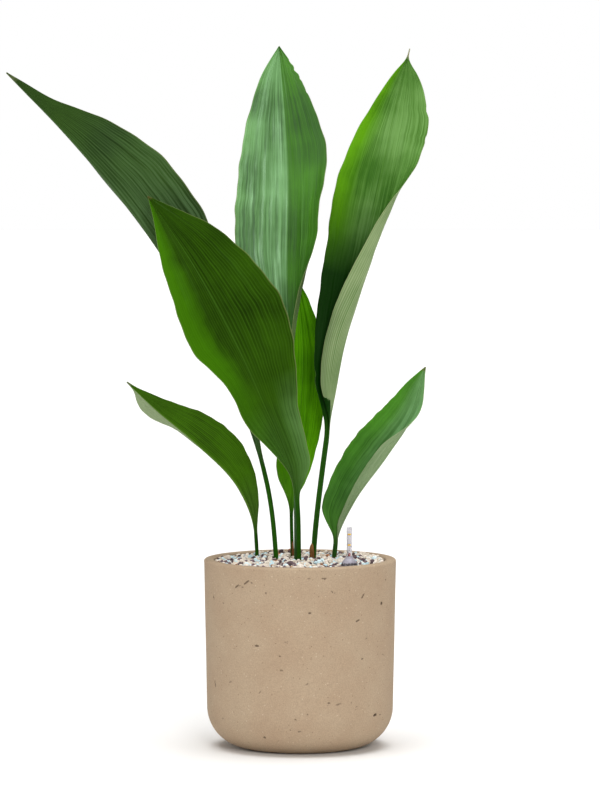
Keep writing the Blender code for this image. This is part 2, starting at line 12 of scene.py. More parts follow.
import bpy
import numpy as np
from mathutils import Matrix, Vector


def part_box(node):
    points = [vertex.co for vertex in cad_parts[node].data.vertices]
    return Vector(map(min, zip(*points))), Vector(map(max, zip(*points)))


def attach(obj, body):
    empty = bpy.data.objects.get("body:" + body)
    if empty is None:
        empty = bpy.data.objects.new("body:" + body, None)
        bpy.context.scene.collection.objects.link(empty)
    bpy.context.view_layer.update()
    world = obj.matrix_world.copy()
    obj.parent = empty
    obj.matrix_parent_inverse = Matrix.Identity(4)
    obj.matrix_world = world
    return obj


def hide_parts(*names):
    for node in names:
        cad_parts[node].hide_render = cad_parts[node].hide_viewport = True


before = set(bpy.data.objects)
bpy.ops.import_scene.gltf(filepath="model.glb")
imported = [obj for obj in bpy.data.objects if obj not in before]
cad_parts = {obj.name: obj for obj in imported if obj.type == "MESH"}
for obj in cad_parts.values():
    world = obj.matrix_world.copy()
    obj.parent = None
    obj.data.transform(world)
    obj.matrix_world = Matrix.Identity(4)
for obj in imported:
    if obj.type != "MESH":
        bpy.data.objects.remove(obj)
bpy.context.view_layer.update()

# %% [markdown]
# ## The tools of the lesson
#
# Lengths are given in millimetres and turned to metres once. A colour is written as the sRGB hex value that a
# colour chart gives, and the shader needs it linear, so one function turns it. One more function adds a node:
# it sets its properties, fills its sockets, and hands on one of its outputs. Most colours here are coats laid
# over each other, each with a number that says where it starts and where it is full. A pattern's scale is the
# number of its cells in a metre, so a scale of 850 makes cells of 1.2 mm.

# %% Colours and nodes
MM = 0.001


def linear(hex_code):
    """An sRGB hex colour as linear red, green, blue and 1."""
    steps = [int(hex_code[i:i + 2], 16) / 255 for i in (0, 2, 4)]
    return (*[c / 12.92 if c <= 0.04045 else ((c + 0.055) / 1.055) ** 2.4 for c in steps], 1.0)


def fill(node, sockets):
    """Fills a node's inputs, in order or by name or number, with links, hex colours or plain values."""
    for key, value in sockets.items() if isinstance(sockets, dict) else enumerate(sockets):
        if isinstance(value, bpy.types.NodeSocket):
            node.id_data.links.new(value, node.inputs[key])
        else:
            node.inputs[key].default_value = linear(value) if isinstance(value, str) else value


def add_node(tree, kind, sockets=(), output=0, **settings):
    """Adds a node of a kind to a tree, with its properties and inputs, and gives one of its outputs."""
    made = tree.nodes.new("ShaderNode" + kind)
    for key, value in settings.items():
        setattr(made, key, value)
    fill(made, sockets)
    return made.outputs[output]


def new_material(name, **constants):
    """A material with only its Principled BSDF, whose constants are set by socket name."""
    made = bpy.data.materials.new(name)
    made.use_nodes = True
    shader = made.node_tree.nodes["Principled BSDF"]
    fill(shader, {key.replace("_", " "): value for key, value in constants.items()})
    return made, made.node_tree, shader


def coat(tree, base, paint, value, start, full, share=1.0):
    """Lays a paint over a base colour, with a share that goes from 0 at start to its most at full."""
    amount = add_node(tree, "MapRange", (value, start, full, 0.0, share))
    return add_node(tree, "Mix", {0: amount, 6: base, 7: paint}, 2, data_type="RGBA")


def dress(shader, colour, relief, strength, depth, invert=False):
    """Links a colour to the shader, and a relief as bumps with a strength and a depth in millimetres."""
    sockets = {"Height": relief, "Strength": strength, "Distance": depth * MM}
    bump = add_node(shader.id_data, "Bump", sockets, invert=invert)
    fill(shader, {"Base Color": colour, "Normal": bump})


print("beech brown in linear light:", [round(c, 3) for c in linear("B08D62")])

# %% [markdown]
# A surface is a grid of points, so its faces are known before its shape is: each point is joined to the next
# one along its row and to the one above. The rows of a turned pot close on themselves, and so does the ring
# of points round a leaf's section. With rows that run to the right, seen from outside, and climb, the faces
# look out.

# %% Grids into pieces


def grid_quads(rows, around):
    """Corner numbers of the squares of a grid whose rows each close on themselves."""
    index = np.arange(rows * around).reshape(rows, around)
    index = np.concatenate([index, index[:, :1]], axis=1)
    low, high = index[:-1], index[1:]
    return np.stack([low[:, :-1], low[:, 1:], high[:, 1:], high[:, :-1]], axis=-1).reshape(-1, 4)


def stacked(ring):
    """Points and faces of closed rows in mm, (rows, around, 3), with one face over each end."""
    rows, around = ring.shape[:2]
    first = list(range(around))
    last = [(rows - 1) * around + corner for corner in first]
    return (ring * MM).reshape(-1, 3), grid_quads(rows, around).tolist() + [first[::-1], last]


def turned(profile, around, place=(0.0, 0.0)):
    """Points and faces of a profile of (radius, height) in mm, carried round the vertical through place.

    Each point is its radius times (sine, -cosine) of its turn, which starts at the front and goes to +X.
    A profile starts and ends on the axis, in a pole with a fan of triangles, and runs up on its outer side.
    """
    radius, height = profile[1:-1].T
    turn = np.linspace(0, 2 * np.pi, around, endpoint=False)
    x, y = radius[:, None] * np.sin(turn), -radius[:, None] * np.cos(turn)
    rings = np.stack([x, y, np.repeat(height[:, None], around, axis=1)], axis=-1).reshape(-1, 3)
    points = np.vstack([rings, (0, 0, profile[0, 1]), (0, 0, profile[-1, 1])])
    step, last = np.arange(around), len(rings) - around
    after = np.roll(step, -1)
    low_fan = np.stack([np.full(around, len(rings)), after, step], axis=1)
    high_fan = np.stack([last + step, last + after, np.full(around, len(rings) + 1)], axis=1)
    faces = grid_quads(len(radius), around).tolist() + low_fan.tolist() + high_fan.tolist()
    return (points + (*place, 0)) * MM, faces


def arc(centre, radius, first, last, steps):
    """Points of a profile on an arc, from the first angle to the last, in degrees."""
    angle = np.radians(np.linspace(first, last, steps + 1))
    return np.column_stack([centre[0] + radius * np.cos(angle), centre[1] + radius * np.sin(angle)])


def run(start, end, steps):
    """Points of a profile on a straight run, without the first and the last one."""
    return np.linspace(start, end, steps + 1)[1:-1]


def add_piece(name, points, faces, materials, slot, body="root", replaces=(), attributes=None, sharp=None):
    """A mesh piece in its place, with its finishes and its per-point attributes; the slot, its row in the
    table, is not used.
    """
    mesh = bpy.data.meshes.new(name)
    mesh.from_pydata(points, [], faces)
    for key, values in (attributes or {}).items():
        values = np.asarray(values, np.float32).ravel()
        mesh.attributes.new(key, "FLOAT", "POINT").data.foreach_set("value", values)
    for material in materials:
        mesh.materials.append(material)
    if sharp is not None:
        mesh.shade_smooth()
        mesh.set_sharp_from_angle(angle=math.radians(sharp))
    piece = bpy.data.objects.new(name, mesh)
    bpy.context.scene.collection.objects.link(piece)
    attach(piece, body)
    if replaces:
        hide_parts(*replaces)
    print(f"{name}: {len(points)} points, {len(faces)} faces")
    return piece


print("a grid of 3 rows of 4 points has", len(grid_quads(3, 4)), "squares")

# %% [markdown]
# ## The studio
#
# The plant is shown in a bright room with a pale floor. A long lens from 4.5 m keeps its upright lines
# upright, and looks down by less than 4 degrees, so the granules show as a thin bright oval.
# The lights are suns with a wide angle: far softboxes, whose light is even over floor and leaves. The
# strongest one hangs overhead. The key is the narrowest, and stands just right of the lens and 24 degrees up,
# where a waxy leaf that leans back throws it to the lens.

# %% Camera and light
CAMERA_PLACE = (0.0, -4.5, 0.657)
CAMERA_DOWN = 3.76
LENS_MM = 195.4
# azimuth from the front towards +X, elevation and width as seen from the plant in degrees, and strength
SOFTBOXES = {
    "key": (12, 24, 18, 1.05),
    "overhead": (0, 88, 50, 2.8),
    "left_fill": (-60, 12, 60, 0.82),
    "right_fill": (62, 12, 60, 0.45),
    "back": (170, 50, 60, 0.4),
}

scene = bpy.context.scene
camera = bpy.data.objects.new("Camera", bpy.data.cameras.new("Camera"))
scene.collection.objects.link(camera)
camera.data.lens = LENS_MM
camera.location = CAMERA_PLACE
camera.rotation_euler = (math.radians(90 - CAMERA_DOWN), 0, 0)
scene.camera = camera
scene.view_settings.view_transform = "Standard"

for name, (azimuth, elevation, width, strength) in SOFTBOXES.items():
    lamp = bpy.data.lights.new(name, "SUN")
    lamp.energy = strength
    lamp.angle = math.radians(width)
    light = bpy.data.objects.new(name, lamp)
    scene.collection.objects.link(light)
    light.rotation_euler = (math.radians(90 - elevation), 0, math.radians(azimuth))
print("softboxes:", ", ".join(SOFTBOXES))

# %% [markdown]
# The room itself gives a weak even light. What the lens sees past the floor, also through clear plastic, is
# plain white, as a studio's paper roll would be. The floor is matt and pale, and keeps a soft shadow under
# the planter.

# %% Room and floor
ROOM_LIGHT = 0.2
FLOOR_SIDE = 40.0

world = bpy.data.worlds.new("Studio")
scene.world = world
world.use_nodes = True
room = world.node_tree
dim = room.nodes["Background"]
fill(dim, ("F4F6F8", ROOM_LIGHT))
paper = add_node(room, "Background", ("FFFFFF", 1.0))
seen = add_node(room, "Math", [add_node(room, "LightPath", output=ray)
                               for ray in ("Is Camera Ray", "Is Transmission Ray")], operation="MAXIMUM")
both = add_node(room, "MixShader", (seen, dim.outputs[0], paper))
fill(room.nodes["World Output"], {"Surface": both})

paint, *_ = new_material("matt_pale_floor", Base_Color="F1F0EE", Roughness=0.9, Specular_IOR_Level=0.1)
half = FLOOR_SIDE / 2
corners = [(-half, -half, 0), (half, -half, 0), (half, half, 0), (-half, half, 0)]
floor_mesh = bpy.data.meshes.new("floor")
floor_mesh.from_pydata(corners, [], [(0, 1, 2, 3)])
floor_mesh.materials.append(paint)
floor = bpy.data.objects.new("floor", floor_mesh)
scene.collection.objects.link(floor)
print("floor side in metres:", FLOOR_SIDE)

# %% [markdown]
# ## The planter
#
# The real planter is cast in a mould from crushed stone, resin and fibre: a straight wall on a big rounded
# foot, with a softened lip. It could be a Screw modifier on a profile. Here the profile is carried round as
# an array instead, because the wall then takes its marks in the same step: air bubbles and fibres in the
# mould leave short pits, cracks and scratches. The clearest ones are rows of a short list, and the small ones
# are a seeded draw over the whole wall. A mark is an oval dent on the unrolled wall, with its edge softened.

# %% The planter's form
pot_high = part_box("pot")[1]
POT_RADIUS = pot_high.x / MM
POT_HEIGHT = pot_high.z / MM
POT_FOOT_RADIUS = 97.0
POT_FOOT_ROUND = 42.0
POT_LIP_ROUND = 2.5
POT_WALL = 11.0
POT_FLOOR = 14.0
POT_AROUND = 480
POT_SWELL = 0.1
NO_MARK = 3.0
MARK_EDGE = 0.5

# The clearest marks: place to the right of the middle, height, length, width, tilt and depth, in mm and
# degrees
CLEAR_MARKS = [
    (-65, 175, 7, 1.6, 35, 0.7), (-60, 175, 6, 1.2, -20, 0.4), (-55, 180, 8, 1.6, 35, 0.7),
    (-50, 180, 6, 1.2, -25, 0.4), (-90, 160, 5, 1.4, -60, 0.7), (-35, 170, 3, 1.4, -10, 0.5),
    (10, 185, 8, 0.8, -15, 0.3), (25, 185, 6, 1.3, -5, 0.6), (15, 170, 8, 0.9, 0, 0.3),
    (35, 170, 6, 1.0, 0, 0.5), (65, 165, 7, 1.3, 55, 0.7), (85, 155, 4, 3.0, 0, 1.2),
    (10, 150, 3, 2.0, 0, 0.8), (60, 140, 5, 1.6, 15, 0.8), (-15, 120, 7, 0.8, 10, 0.3),
    (-45, 115, 5, 1.6, 0, 0.7), (65, 100, 4, 1.3, 20, 0.6), (-90, 70, 8, 1.6, -75, 0.6),
    (40, 55, 8, 1.3, 5, 0.4), (80, 40, 6, 2.4, 10, 1.2), (-5, 40, 2, 1.6, 0, 0.9),
    (-40, 20, 3, 1.8, -10, 0.8),
]
# The small marks: how many, and the ranges of azimuth, height, length, width, tilt and depth
SMALL_MARKS = 46
SMALL_RANGES = ((-180, 180), (25, 188), (1.5, 5), (0.8, 1.8), (-40, 40), (0.25, 0.7))

clearest = np.array(CLEAR_MARKS, float)
clearest[:, 0] = np.degrees(np.arcsin(clearest[:, 0] / POT_RADIUS))
chance = np.random.default_rng(11)
small = np.column_stack([chance.uniform(low, high, SMALL_MARKS) for low, high in SMALL_RANGES])
marks = np.concatenate([clearest, small])


def nearest_mark(azimuth, height):
    """Distance in mm from the wall's points to the nearest mark's edge, less than 0 in it, and its depth.

    A point's distance to an oval is its own length in the oval's frame, less the oval's reach that way.
    """
    gap, depth = np.full_like(height, NO_MARK), np.zeros_like(height)
    for middle, level, length, width, tilt, deep in marks:
        across = (np.mod(azimuth - middle + 180, 360) - 180) * np.pi / 180 * POT_RADIUS
        up = height - level
        lean = math.radians(tilt)
        along = across * math.cos(lean) + up * math.sin(lean)
        side = up * math.cos(lean) - across * math.sin(lean)
        far = np.hypot(along, side) + 1e-6
        this = far - far / np.hypot(along / (length / 2), side / (width / 2))
        nearer = this < gap
        gap, depth = np.where(nearer, this, gap), np.where(nearer, deep, depth)
    return gap, depth


def pot_surface():
    """The planter's profile from the middle of its foot up the wall, over the lip and down the inside.

    The wall's points are then drawn in by their marks, and by a slow swell of up to 0.2 mm, as a cast wall
    has. The distance to the nearest mark and its depth go along as attributes.
    """
    centre = POT_FOOT_RADIUS - POT_FOOT_ROUND
    inner = POT_RADIUS - POT_WALL
    lip = POT_HEIGHT - POT_LIP_ROUND
    outside = np.concatenate([
        [(0, 0)], run((0, 0), (centre, 0), 12), arc((centre, POT_FOOT_ROUND), POT_FOOT_ROUND, -90, 0, 50),
        run((POT_FOOT_RADIUS, POT_FOOT_ROUND), (POT_RADIUS, lip), 112)])
    inside = np.concatenate([
        arc((POT_RADIUS - POT_LIP_ROUND, lip), POT_LIP_ROUND, 0, 90, 6),
        arc((inner + POT_LIP_ROUND, lip), POT_LIP_ROUND, 90, 180, 6),
        arc((centre, POT_FLOOR + POT_FOOT_ROUND - POT_WALL), POT_FOOT_ROUND - POT_WALL, 0, -90, 8),
        [(0, POT_FLOOR)]])
    points, faces = turned(np.concatenate([outside, inside]), POT_AROUND)
    wall = points[:(len(outside) - 1) * POT_AROUND]
    azimuth = np.degrees(np.arctan2(wall[:, 0], -wall[:, 1]))
    height = wall[:, 2] / MM
    swell = POT_SWELL + POT_SWELL * np.sin(np.radians(3 * azimuth) + height / 31) * np.sin(height / 23)
    gap, deep = nearest_mark(azimuth, height)
    depth = deep * np.clip(MARK_EDGE - gap, 0, 1) + swell * np.clip(height / 10, 0, 1)
    wall[:, :2] *= 1 - (depth * MM / np.hypot(wall[:, 0], wall[:, 1]).clip(MM))[:, None]
    unmarked = (0, len(points) - len(wall))
    return points, faces, {"mark_gap": np.pad(gap, unmarked, constant_values=NO_MARK),
                           "mark_depth": np.pad(deep, unmarked)}


pot_points, pot_faces, pot_marks = pot_surface()
print("marks on the wall:", len(marks), "deepest in mm:", marks[:, 5].max().round(2))

# %% [markdown]
# ### Its finish
#
# Cast stone mix shows its sand: pale and dark grains of about a millimetre in a beige binder, with slow
# clouds where the mix was wetter. It is matt all over. The pits hold dust and painted shade, so each mark
# darkens the colour too. Its edge is where the distance to the mark passes a set value. That distance changes
# evenly from point to point, so the edge stays crisp between them, and a fine noise added to it frays it.

# %% The planter's finish
stone, tree, shader = new_material("sand_cast_stone_mix", Roughness=0.85, Specular_IOR_Level=0.25)
place = add_node(tree, "TexCoord", output="Object")
gap, deep = (add_node(tree, "Attribute", output="Fac", attribute_name=key) for key in pot_marks)
ragged = add_node(tree, "TexNoise", {"Vector": place, "Scale": 600, "Detail": 3})
frayed = add_node(tree, "Math", (ragged, 2.4, gap), operation="MULTIPLY_ADD")
inside = add_node(tree, "MapRange", (frayed, 1.8, 1.0), interpolation_type="SMOOTHSTEP")
darkness = add_node(tree, "MapRange", (deep, 0.1, 1.0, 0.35, 0.9))
pitted = add_node(tree, "Math", (inside, darkness), operation="MULTIPLY")
clouds = add_node(tree, "TexNoise", {"Vector": place, "Scale": 22, "Detail": 3, "Roughness": 0.6})
sand = add_node(tree, "TexNoise", {"Vector": place, "Scale": 850, "Detail": 2, "Roughness": 0.7})
from_grit = add_node(tree, "TexVoronoi", {"Vector": place, "Scale": 420}, "Distance")
grit_kind = add_node(tree, "SeparateColor", (from_grit.node.outputs["Color"],)).node.outputs

binder = coat(tree, "A99279", "AE9980", clouds, 0.35, 0.65)
grain = add_node(tree, "MapRange", (sand, 0.3, 0.7, 0.86, 1.13))
colour = add_node(tree, "VectorMath", {0: binder, "Scale": grain}, operation="SCALE")
for kind, rarity, paint in ((grit_kind[0], 0.94, "C6B49C"), (grit_kind[1], 0.955, "7E6750")):
    chosen = add_node(tree, "Math", (kind, rarity), operation="GREATER_THAN")
    colour = coat(tree, colour, paint, from_grit, 0.32, 0.12, chosen)
# the pits darken for their dust and for painted shade in them
dust_and_pit_shade = add_node(tree, "Mix", {0: pitted, 6: colour, 7: "4A3A2C"}, 2, data_type="RGBA")
dress(shader, dust_and_pit_shade, add_node(tree, "Math", (sand, pitted), operation="SUBTRACT"), 0.35, 0.25)

add_piece("planter", pot_points, pot_faces, [stone], "pot", replaces=["pot"], attributes=pot_marks, sharp=45)

# %% [markdown]
# ## The leaves
#
# A cast iron plant sends up each leaf by itself: one long blade that narrows into a slim stalk. It could be
# sculpted, or bent from a plane with modifiers. Here a leaf is a section carried along a spine, because a
# grower would describe it so: where the spine runs, how wide each half is, where the face looks and how the
# halves fold. A half may curl back over the face, and then shows its paler underside.
#
# Each table's first number says where along the blade its row holds, and a smooth curve runs through the
# rows. A leaf has only the coats of colour that it shows.

# %% The leaves' numbers
# Lengths are in mm and angles in degrees. Places along the blade and shares of a colour go from 0 to 1, and
# places across it from -1 at the left margin to 1 at the right one.
# skin: light and dark of the upper face, then of the underside, and the underside's ribs
# gloss: the upper face's specular level, roughness and tint
# bloom: paler streaks of painted sheen that rise from the blade's foot: colour, share, how high
# flush: painted light, a lighter green in soft patches from one margin: side, where it starts, colour, share
# wax: a pale painted sheen: colour, share, where it starts and is full across the blade, and where along it
# shade: a dark stretch of the upper face, painted shade: share, where it starts and is full
# right_half: the underside right of the midrib: colour, share; tip: where it is dry, and its colour
# stalk: radius; foot: x and y on the rhizome; spine: x, y, z from the granules to the tip, where it bends
# blade_from: where along the spine the blade starts; halves: left and right half-width
# faces: azimuth and elevation that the upper face looks to
# folds: rise from flat and added curl of the left half, then of the right half
# wave: height, number and phase; nicks: bites out of the margin: place, side, depth and length
LEAVES = {
    "leaf_front": {
        "skin": ("2C4E04", "152A00", "3C5626", "20340F", "66764A"),
        "gloss": (0.1, 0.34, "8CC878"), "painted_foot_sheen": ("56823E", 0.5, 0.34), "painted_light_patches": (-1, 0.25, "3C7200", 0.7),
        "tip": (0.985, "6E6A3C"), "painted_sheen": ("6C9458", 0.5, 0.35, 0.75, 0.4, 0.26), "stalk": 2.5,
        "foot": (0, 6),
        "spine": [(-1, 5, 194), (-5, -10, 270), (-40, -33, 365), (-105, -42, 495), (-157, -15, 573)],
        "blade_from": 0.17,
        "halves": [(0, 2.5, 2.5), (0.05, 3, 9), (0.1, 4, 20), (0.2, 15, 27), (0.3, 28, 34), (0.42, 31, 50),
                   (0.56, 46, 63), (0.7, 40, 55), (0.83, 26, 38), (0.93, 10, 16), (1, 0.5, 0.5)],
        "faces": [(0, 10, 0), (0.5, 0, 25), (1, -10, 30)],
        "folds": [(0, 35, 20, 30, 20), (0.5, 12, 0, 16, 0), (1, 20, 0, 20, 0)],
        "wave": (1.8, 3.5, 0.3),
    },
    "leaf_centre": {
        "skin": ("427C10", "1E4604", "4A6430", "283E18", "8C9C70"),
        "gloss": (0.7, 0.36, "C8ECCC"), "painted_foot_sheen": ("6A8C48", 0.2, 0.1), "painted_light_patches": (-1, 0.7, "5A9A20", 0.7),
        "tip": (0.995, "6E7A3C"), "painted_sheen": ("8ABA84", 0.55, 0.04, -0.02, 0.08, 0.2), "stalk": 2.2,
        "foot": (-4, 15),
        "spine": [(-4, 12, 193), (-6, 17, 335), (-14, 35, 485), (-13, 60, 595), (-22, 90, 729)],
        "blade_from": 0.33,
        "halves": [(0, 2.2, 2.2), (0.12, 17, 15), (0.28, 41, 36), (0.42, 54, 44), (0.58, 54, 46),
                   (0.72, 47, 43), (0.84, 34, 30), (0.93, 19, 16), (1, 0.5, 0.5)],
        "faces": [(0, 10, 0), (0.5, 0, -5), (1, 0, -5)],
        "folds": [(0, 45, 20, 45, 60), (0.15, 30, 0, 55, 80), (0.22, 20, 0, 40, 90), (0.3, 10, 0, 20, 98),
                  (0.4, 8, 0, 20, 65), (0.54, 8, 0, 20, 40), (0.66, 8, 0, 15, 18), (1, 15, 0, 20, 0)],
        "wave": (1.5, 4.0, 0.0),
        "nicks": [(0.95, 1, 1.3, 0.006), (0.925, 1, 2.2, 0.007), (0.9, 1, 1.1, 0.005), (0.86, 1, 0.8, 0.006)],
    },
    "leaf_left": {
        "skin": ("305202", "162B00", "2E4A16", "182C0C", "48603A"),
        "gloss": (0.15, 0.4, "8CC878"), "painted_foot_sheen": ("6E9064", 0.65, 0.85), "painted_light_patches": (1, 0.85, "64785A", 0.5),
        "right_half": ("587050", 0.5), "tip": (0.97, "5E6A44"), "stalk": 2.5, "foot": (-24, 24),
        "spine": [(-25, 22, 193), (-33, 22, 265), (-60, 23, 355), (-150, 14, 522), (-240, -8, 635),
                  (-301, -34, 700)],
        "blade_from": 0.18,
        "halves": [(0, 2.5, 2.5), (0.1, 10, 9), (0.25, 28, 22), (0.4, 48, 38), (0.55, 61, 46), (0.68, 59, 44),
                   (0.8, 39, 32), (0.9, 14, 14), (0.96, 6, 6), (1, 0.5, 0.5)],
        "faces": [(0, 130, 20), (0.5, 146, 31), (1, 146, 31)],
        "folds": [(0, 45, 10, 45, 10), (0.5, 45, 0, 43, 0), (1, 45, 0, 43, 0)],
        "wave": (1.5, 4.0, 0.0),
    },
    "leaf_right": {
        "skin": ("588E20", "2A5C06", "8CA070", "5C7A44", "B4BE98"),
        "gloss": (0.14, 0.36, "B0DCA0"), "painted_foot_sheen": ("6A8C48", 0.2, 0.1), "shade": (0.98, 0.64, 0.42),
        "painted_light_patches": (-1, 0.35, "5EA004", 0.85), "tip": (0.972, "C8C4A4"),
        "painted_sheen": ("8CB078", 0.45, -0.75, -0.15, 0.34, 0.48), "stalk": 2.9, "foot": (13, 30),
        "spine": [(14, 30, 194), (24, 34, 290), (44, 44, 413), (76, 57, 550), (101, 65, 670), (115, 61, 726)],
        "blade_from": 0.25,
        "halves": [(0, 2.9, 2.9), (0.1, 17, 20), (0.24, 29, 34), (0.37, 36, 44), (0.5, 41, 46),
                   (0.62, 45, 46), (0.74, 38, 42), (0.86, 22, 35), (0.94, 9, 16), (0.975, 1.5, 2),
        (1, 0.5, 0.5)], "faces": [(0, -10, 0), (0.5, -10, -5), (1, 0, 0)],
        "folds": [(0, 40, 20, 50, 60), (0.1, 25, 10, 60, 120), (0.24, 12, 0, 55, 150), (0.37, 8, 0, 35, 145),
                  (0.5, 6, 0, 20, 130), (0.6, 6, 0, 10, 110), (0.68, 6, 0, 15, 60), (0.78, 6, 0, 12, 5),
                  (1, 15, 0, 15, 0)],
        "wave": (1.5, 4.0, 0.0),
        "nicks": [(0.86, 1, 1.6, 0.01), (0.79, 1, 1.2, 0.008), (0.17, -1, 1.5, 0.008)],
    },
    "leaf_behind": {
        "skin": ("5AA002", "306400", "4A6430", "283E18", "7C8C5C"),
        "gloss": (0.1, 0.4, "8CC878"), "painted_foot_sheen": ("6A8C48", 0.3, 0.2), "painted_light_patches": (-1, 0.6, "5A9A04", 0.5),
        "tip": (0.985, "6E6A3C"), "stalk": 1.9, "foot": (-7, 44),
        "spine": [(-8, 45, 194), (-9, 54, 242), (0, 72, 335), (3, 84, 400), (-3, 104, 482)],
        "blade_from": 0.2,
        "halves": [(0, 1.9, 1.9), (0.1, 15, 10), (0.18, 26, 16), (0.3, 28, 21), (0.5, 27, 26), (0.7, 25, 24),
                   (0.85, 16, 15), (0.94, 9, 8), (1, 0.5, 0.5)],
        "faces": [(0, 10, 0), (1, 10, 10)],
        "folds": [(0, 40, 10, 40, 10), (0.5, 20, 0, 20, 0), (1, 20, 0, 20, 0)],
        "wave": (1.0, 3.0, 0.0),
    },
    "leaf_low_left": {
        "skin": ("305202", "162B00", "3C6C02", "203E00", "587A2C"),
        "gloss": (0.1, 0.4, "8CC878"), "painted_foot_sheen": ("6A8C48", 0.3, 0.3), "painted_light_patches": (1, 0.55, "8C9C78", 0.3),
        "right_half": ("96A482", 0.8), "tip": (0.97, "6E7A50"), "stalk": 2.0, "foot": (-44, 40),
        "spine": [(-45, 40, 194), (-50, 36, 238), (-62, 30, 265), (-110, 6, 318), (-150, -8, 353),
                  (-179, -16, 381)],
        "blade_from": 0.16,
        "halves": [(0, 2.0, 2.0), (0.12, 8, 8), (0.28, 22, 18), (0.45, 33, 24), (0.62, 30, 24),
                   (0.78, 18, 22), (0.88, 9, 16), (0.95, 3, 4), (1, 0.5, 0.5)],
        "faces": [(0, 130, 20), (0.5, 146, 31), (1, 146, 31)],
        "folds": [(0, 45, 10, 45, 10), (0.5, 40, 0, 38, 0), (0.65, 36, 0, 32, 0), (0.8, 32, 0, 8, 0),
                  (0.9, 30, 0, 8, 0), (1, 25, 0, 25, 0)],
        "wave": (1.0, 3.0, 0.0),
    },
    "leaf_low_right": {
        "skin": ("4E8A2A", "1E4E06", "869C72", "5A7846", "B4BEA4"),
        "gloss": (0.35, 0.36, "C0E4B8"), "painted_foot_sheen": ("6A8C48", 0.2, 0.1), "painted_light_patches": (-1, 0.5, "3E8404", 0.7),
        "tip": (0.975, "6E7A3C"), "painted_sheen": ("82AE7C", 0.7, -0.6, -0.1, 0.15, 0.5), "stalk": 2.5,
        "foot": (36, 38),
        "spine": [(36, 38, 194), (40, 36, 220), (55, 29, 252), (90, 14, 302), (115, 3, 342),
                  (130, -6, 396)],
        "blade_from": 0.13,
        "halves": [(0, 2.5, 2.5), (0.06, 9, 5), (0.12, 21, 7), (0.28, 33, 12), (0.45, 40, 16), (0.62, 36, 20),
                   (0.78, 28, 16), (0.9, 16, 6), (1, 0.5, 0.5)],
        "faces": [(0, -30, 10), (0.5, -25, 15), (1, -15, 20)],
        "folds": [(0, 30, 20, 60, 40), (0.3, 15, 0, 80, 40), (0.6, 10, 0, 80, 30), (0.8, 10, 0, 40, 0),
                  (1, 15, 0, 15, 0)],
        "wave": (1.0, 3.0, 0.0),
    },
}
print("leaves:", len(LEAVES))

# %% Curves through the numbers
STALK_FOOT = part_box("leaf_front")[0].z / MM
EVEN_STEP = 0.004


def through(table, at):
    """Smooth curve through a table's rows, whose first number says where each row stands.

    Between two rows it is the cubic that has their values and their slopes.
    """
    table = np.asarray(table, float)
    x, y = table[:, 0], table[:, 1:]
    slope = np.gradient(y, x, axis=0)
    i = np.clip(np.searchsorted(x, at, side="right") - 1, 0, len(x) - 2)
    span = (x[i + 1] - x[i])[:, None]
    t = (np.asarray(at) - x[i])[:, None] / span
    start = (1 + 2 * t) * (1 - t) ** 2 * y[i] + t * (1 - t) ** 2 * span * slope[i]
    return start + t * t * (3 - 2 * t) * y[i + 1] + t * t * (t - 1) * span * slope[i + 1]


def unit(vectors):
    """The same directions at length 1."""
    return vectors / np.linalg.norm(vectors, axis=-1, keepdims=True)


def spine_of(leaf):
    """The spine's points from the rhizome up, as a table whose rows start with their share of the length."""
    knots = np.array([(*leaf["foot"], STALK_FOOT)] + leaf["spine"], float)
    reach = np.concatenate([[0.0], np.cumsum(np.linalg.norm(np.diff(knots, axis=0), axis=1))])
    return np.column_stack([reach / reach[-1], knots])


def stalk_path(leaf, heights):
    """Points of a stalk at the given heights near its foot."""
    path = through(spine_of(leaf), np.linspace(0, 0.3, 60))
    return np.column_stack([np.interp(heights, path[:, 2], path[:, i]) for i in (0, 1)] + [heights])


def leaf_frames(leaf, shares, blade):
    """Points on the spine, the leaf's right side there and its upper face's normal."""
    spine = spine_of(leaf)
    before, after = (through(spine, np.clip(shares + step, 0, 1)) for step in (-EVEN_STEP, EVEN_STEP))
    along = unit(after - before)
    azimuth, elevation = np.radians(through(leaf["faces"], blade)).T
    facing = np.stack([np.sin(azimuth) * np.cos(elevation), -np.cos(azimuth) * np.cos(elevation),
                       np.sin(elevation)], axis=1)
    right = unit(np.cross(along, facing))
    return through(spine, shares), right, np.cross(right, along)


half_way = through(spine_of(LEAVES["leaf_centre"]), [0.5])[0]
print("half-way, the centre leaf's spine is at this height in mm:", int(half_way[2]))

# %% [markdown]
# ### One half of a section
#
# Across a half, the blade leaves the midrib at its rise and then bends evenly, so its points lie on a
# circle's arc. On that arc stand the things that catch the light: two broad pleats, a few narrower folds that
# drift as they run up the leaf, twelve sunken veins, and a wave that grows to the margin. The blade thins
# towards its margin, and a keel runs under the midrib. Down the stalk it all closes into a round bar with a
# groove.

# %% The section
BLADE_THICKNESS = 0.8
MARGIN_THICKNESS = 0.35
MIDRIB_WIDTH = 0.09
MIDRIB_GROOVE = 0.5
KEEL = 1.6
PLEATS = 2.1
PLEAT_HEIGHT = 0.35
BLEND_SHARE = 0.16
KEEL_FADE = 1.3
STALK_GROOVE = 0.4
GROOVE_WIDTH = 0.35
STALK_REACH = 70.0
VEINS = 12
VEIN_DEPTH = 0.09
# folds in half a blade, and their height in mm
FINE_FOLDS = ((3.1, 0.24), (5.3, 0.12), (8.7, 0.05))
FOLD_DRIFT = 1.3
MARGIN_CALM = 0.6
# waves of the margin along the blade, in radians, and their share of the half-width
MARGIN_WAVES = ((53, 0.008), (97, 0.006))
FULL_RELIEF_WIDTH = 20.0
STALK_ROWS = 24
BLADE_ROWS = 150
COLUMNS = np.linspace(0, 1, 61)


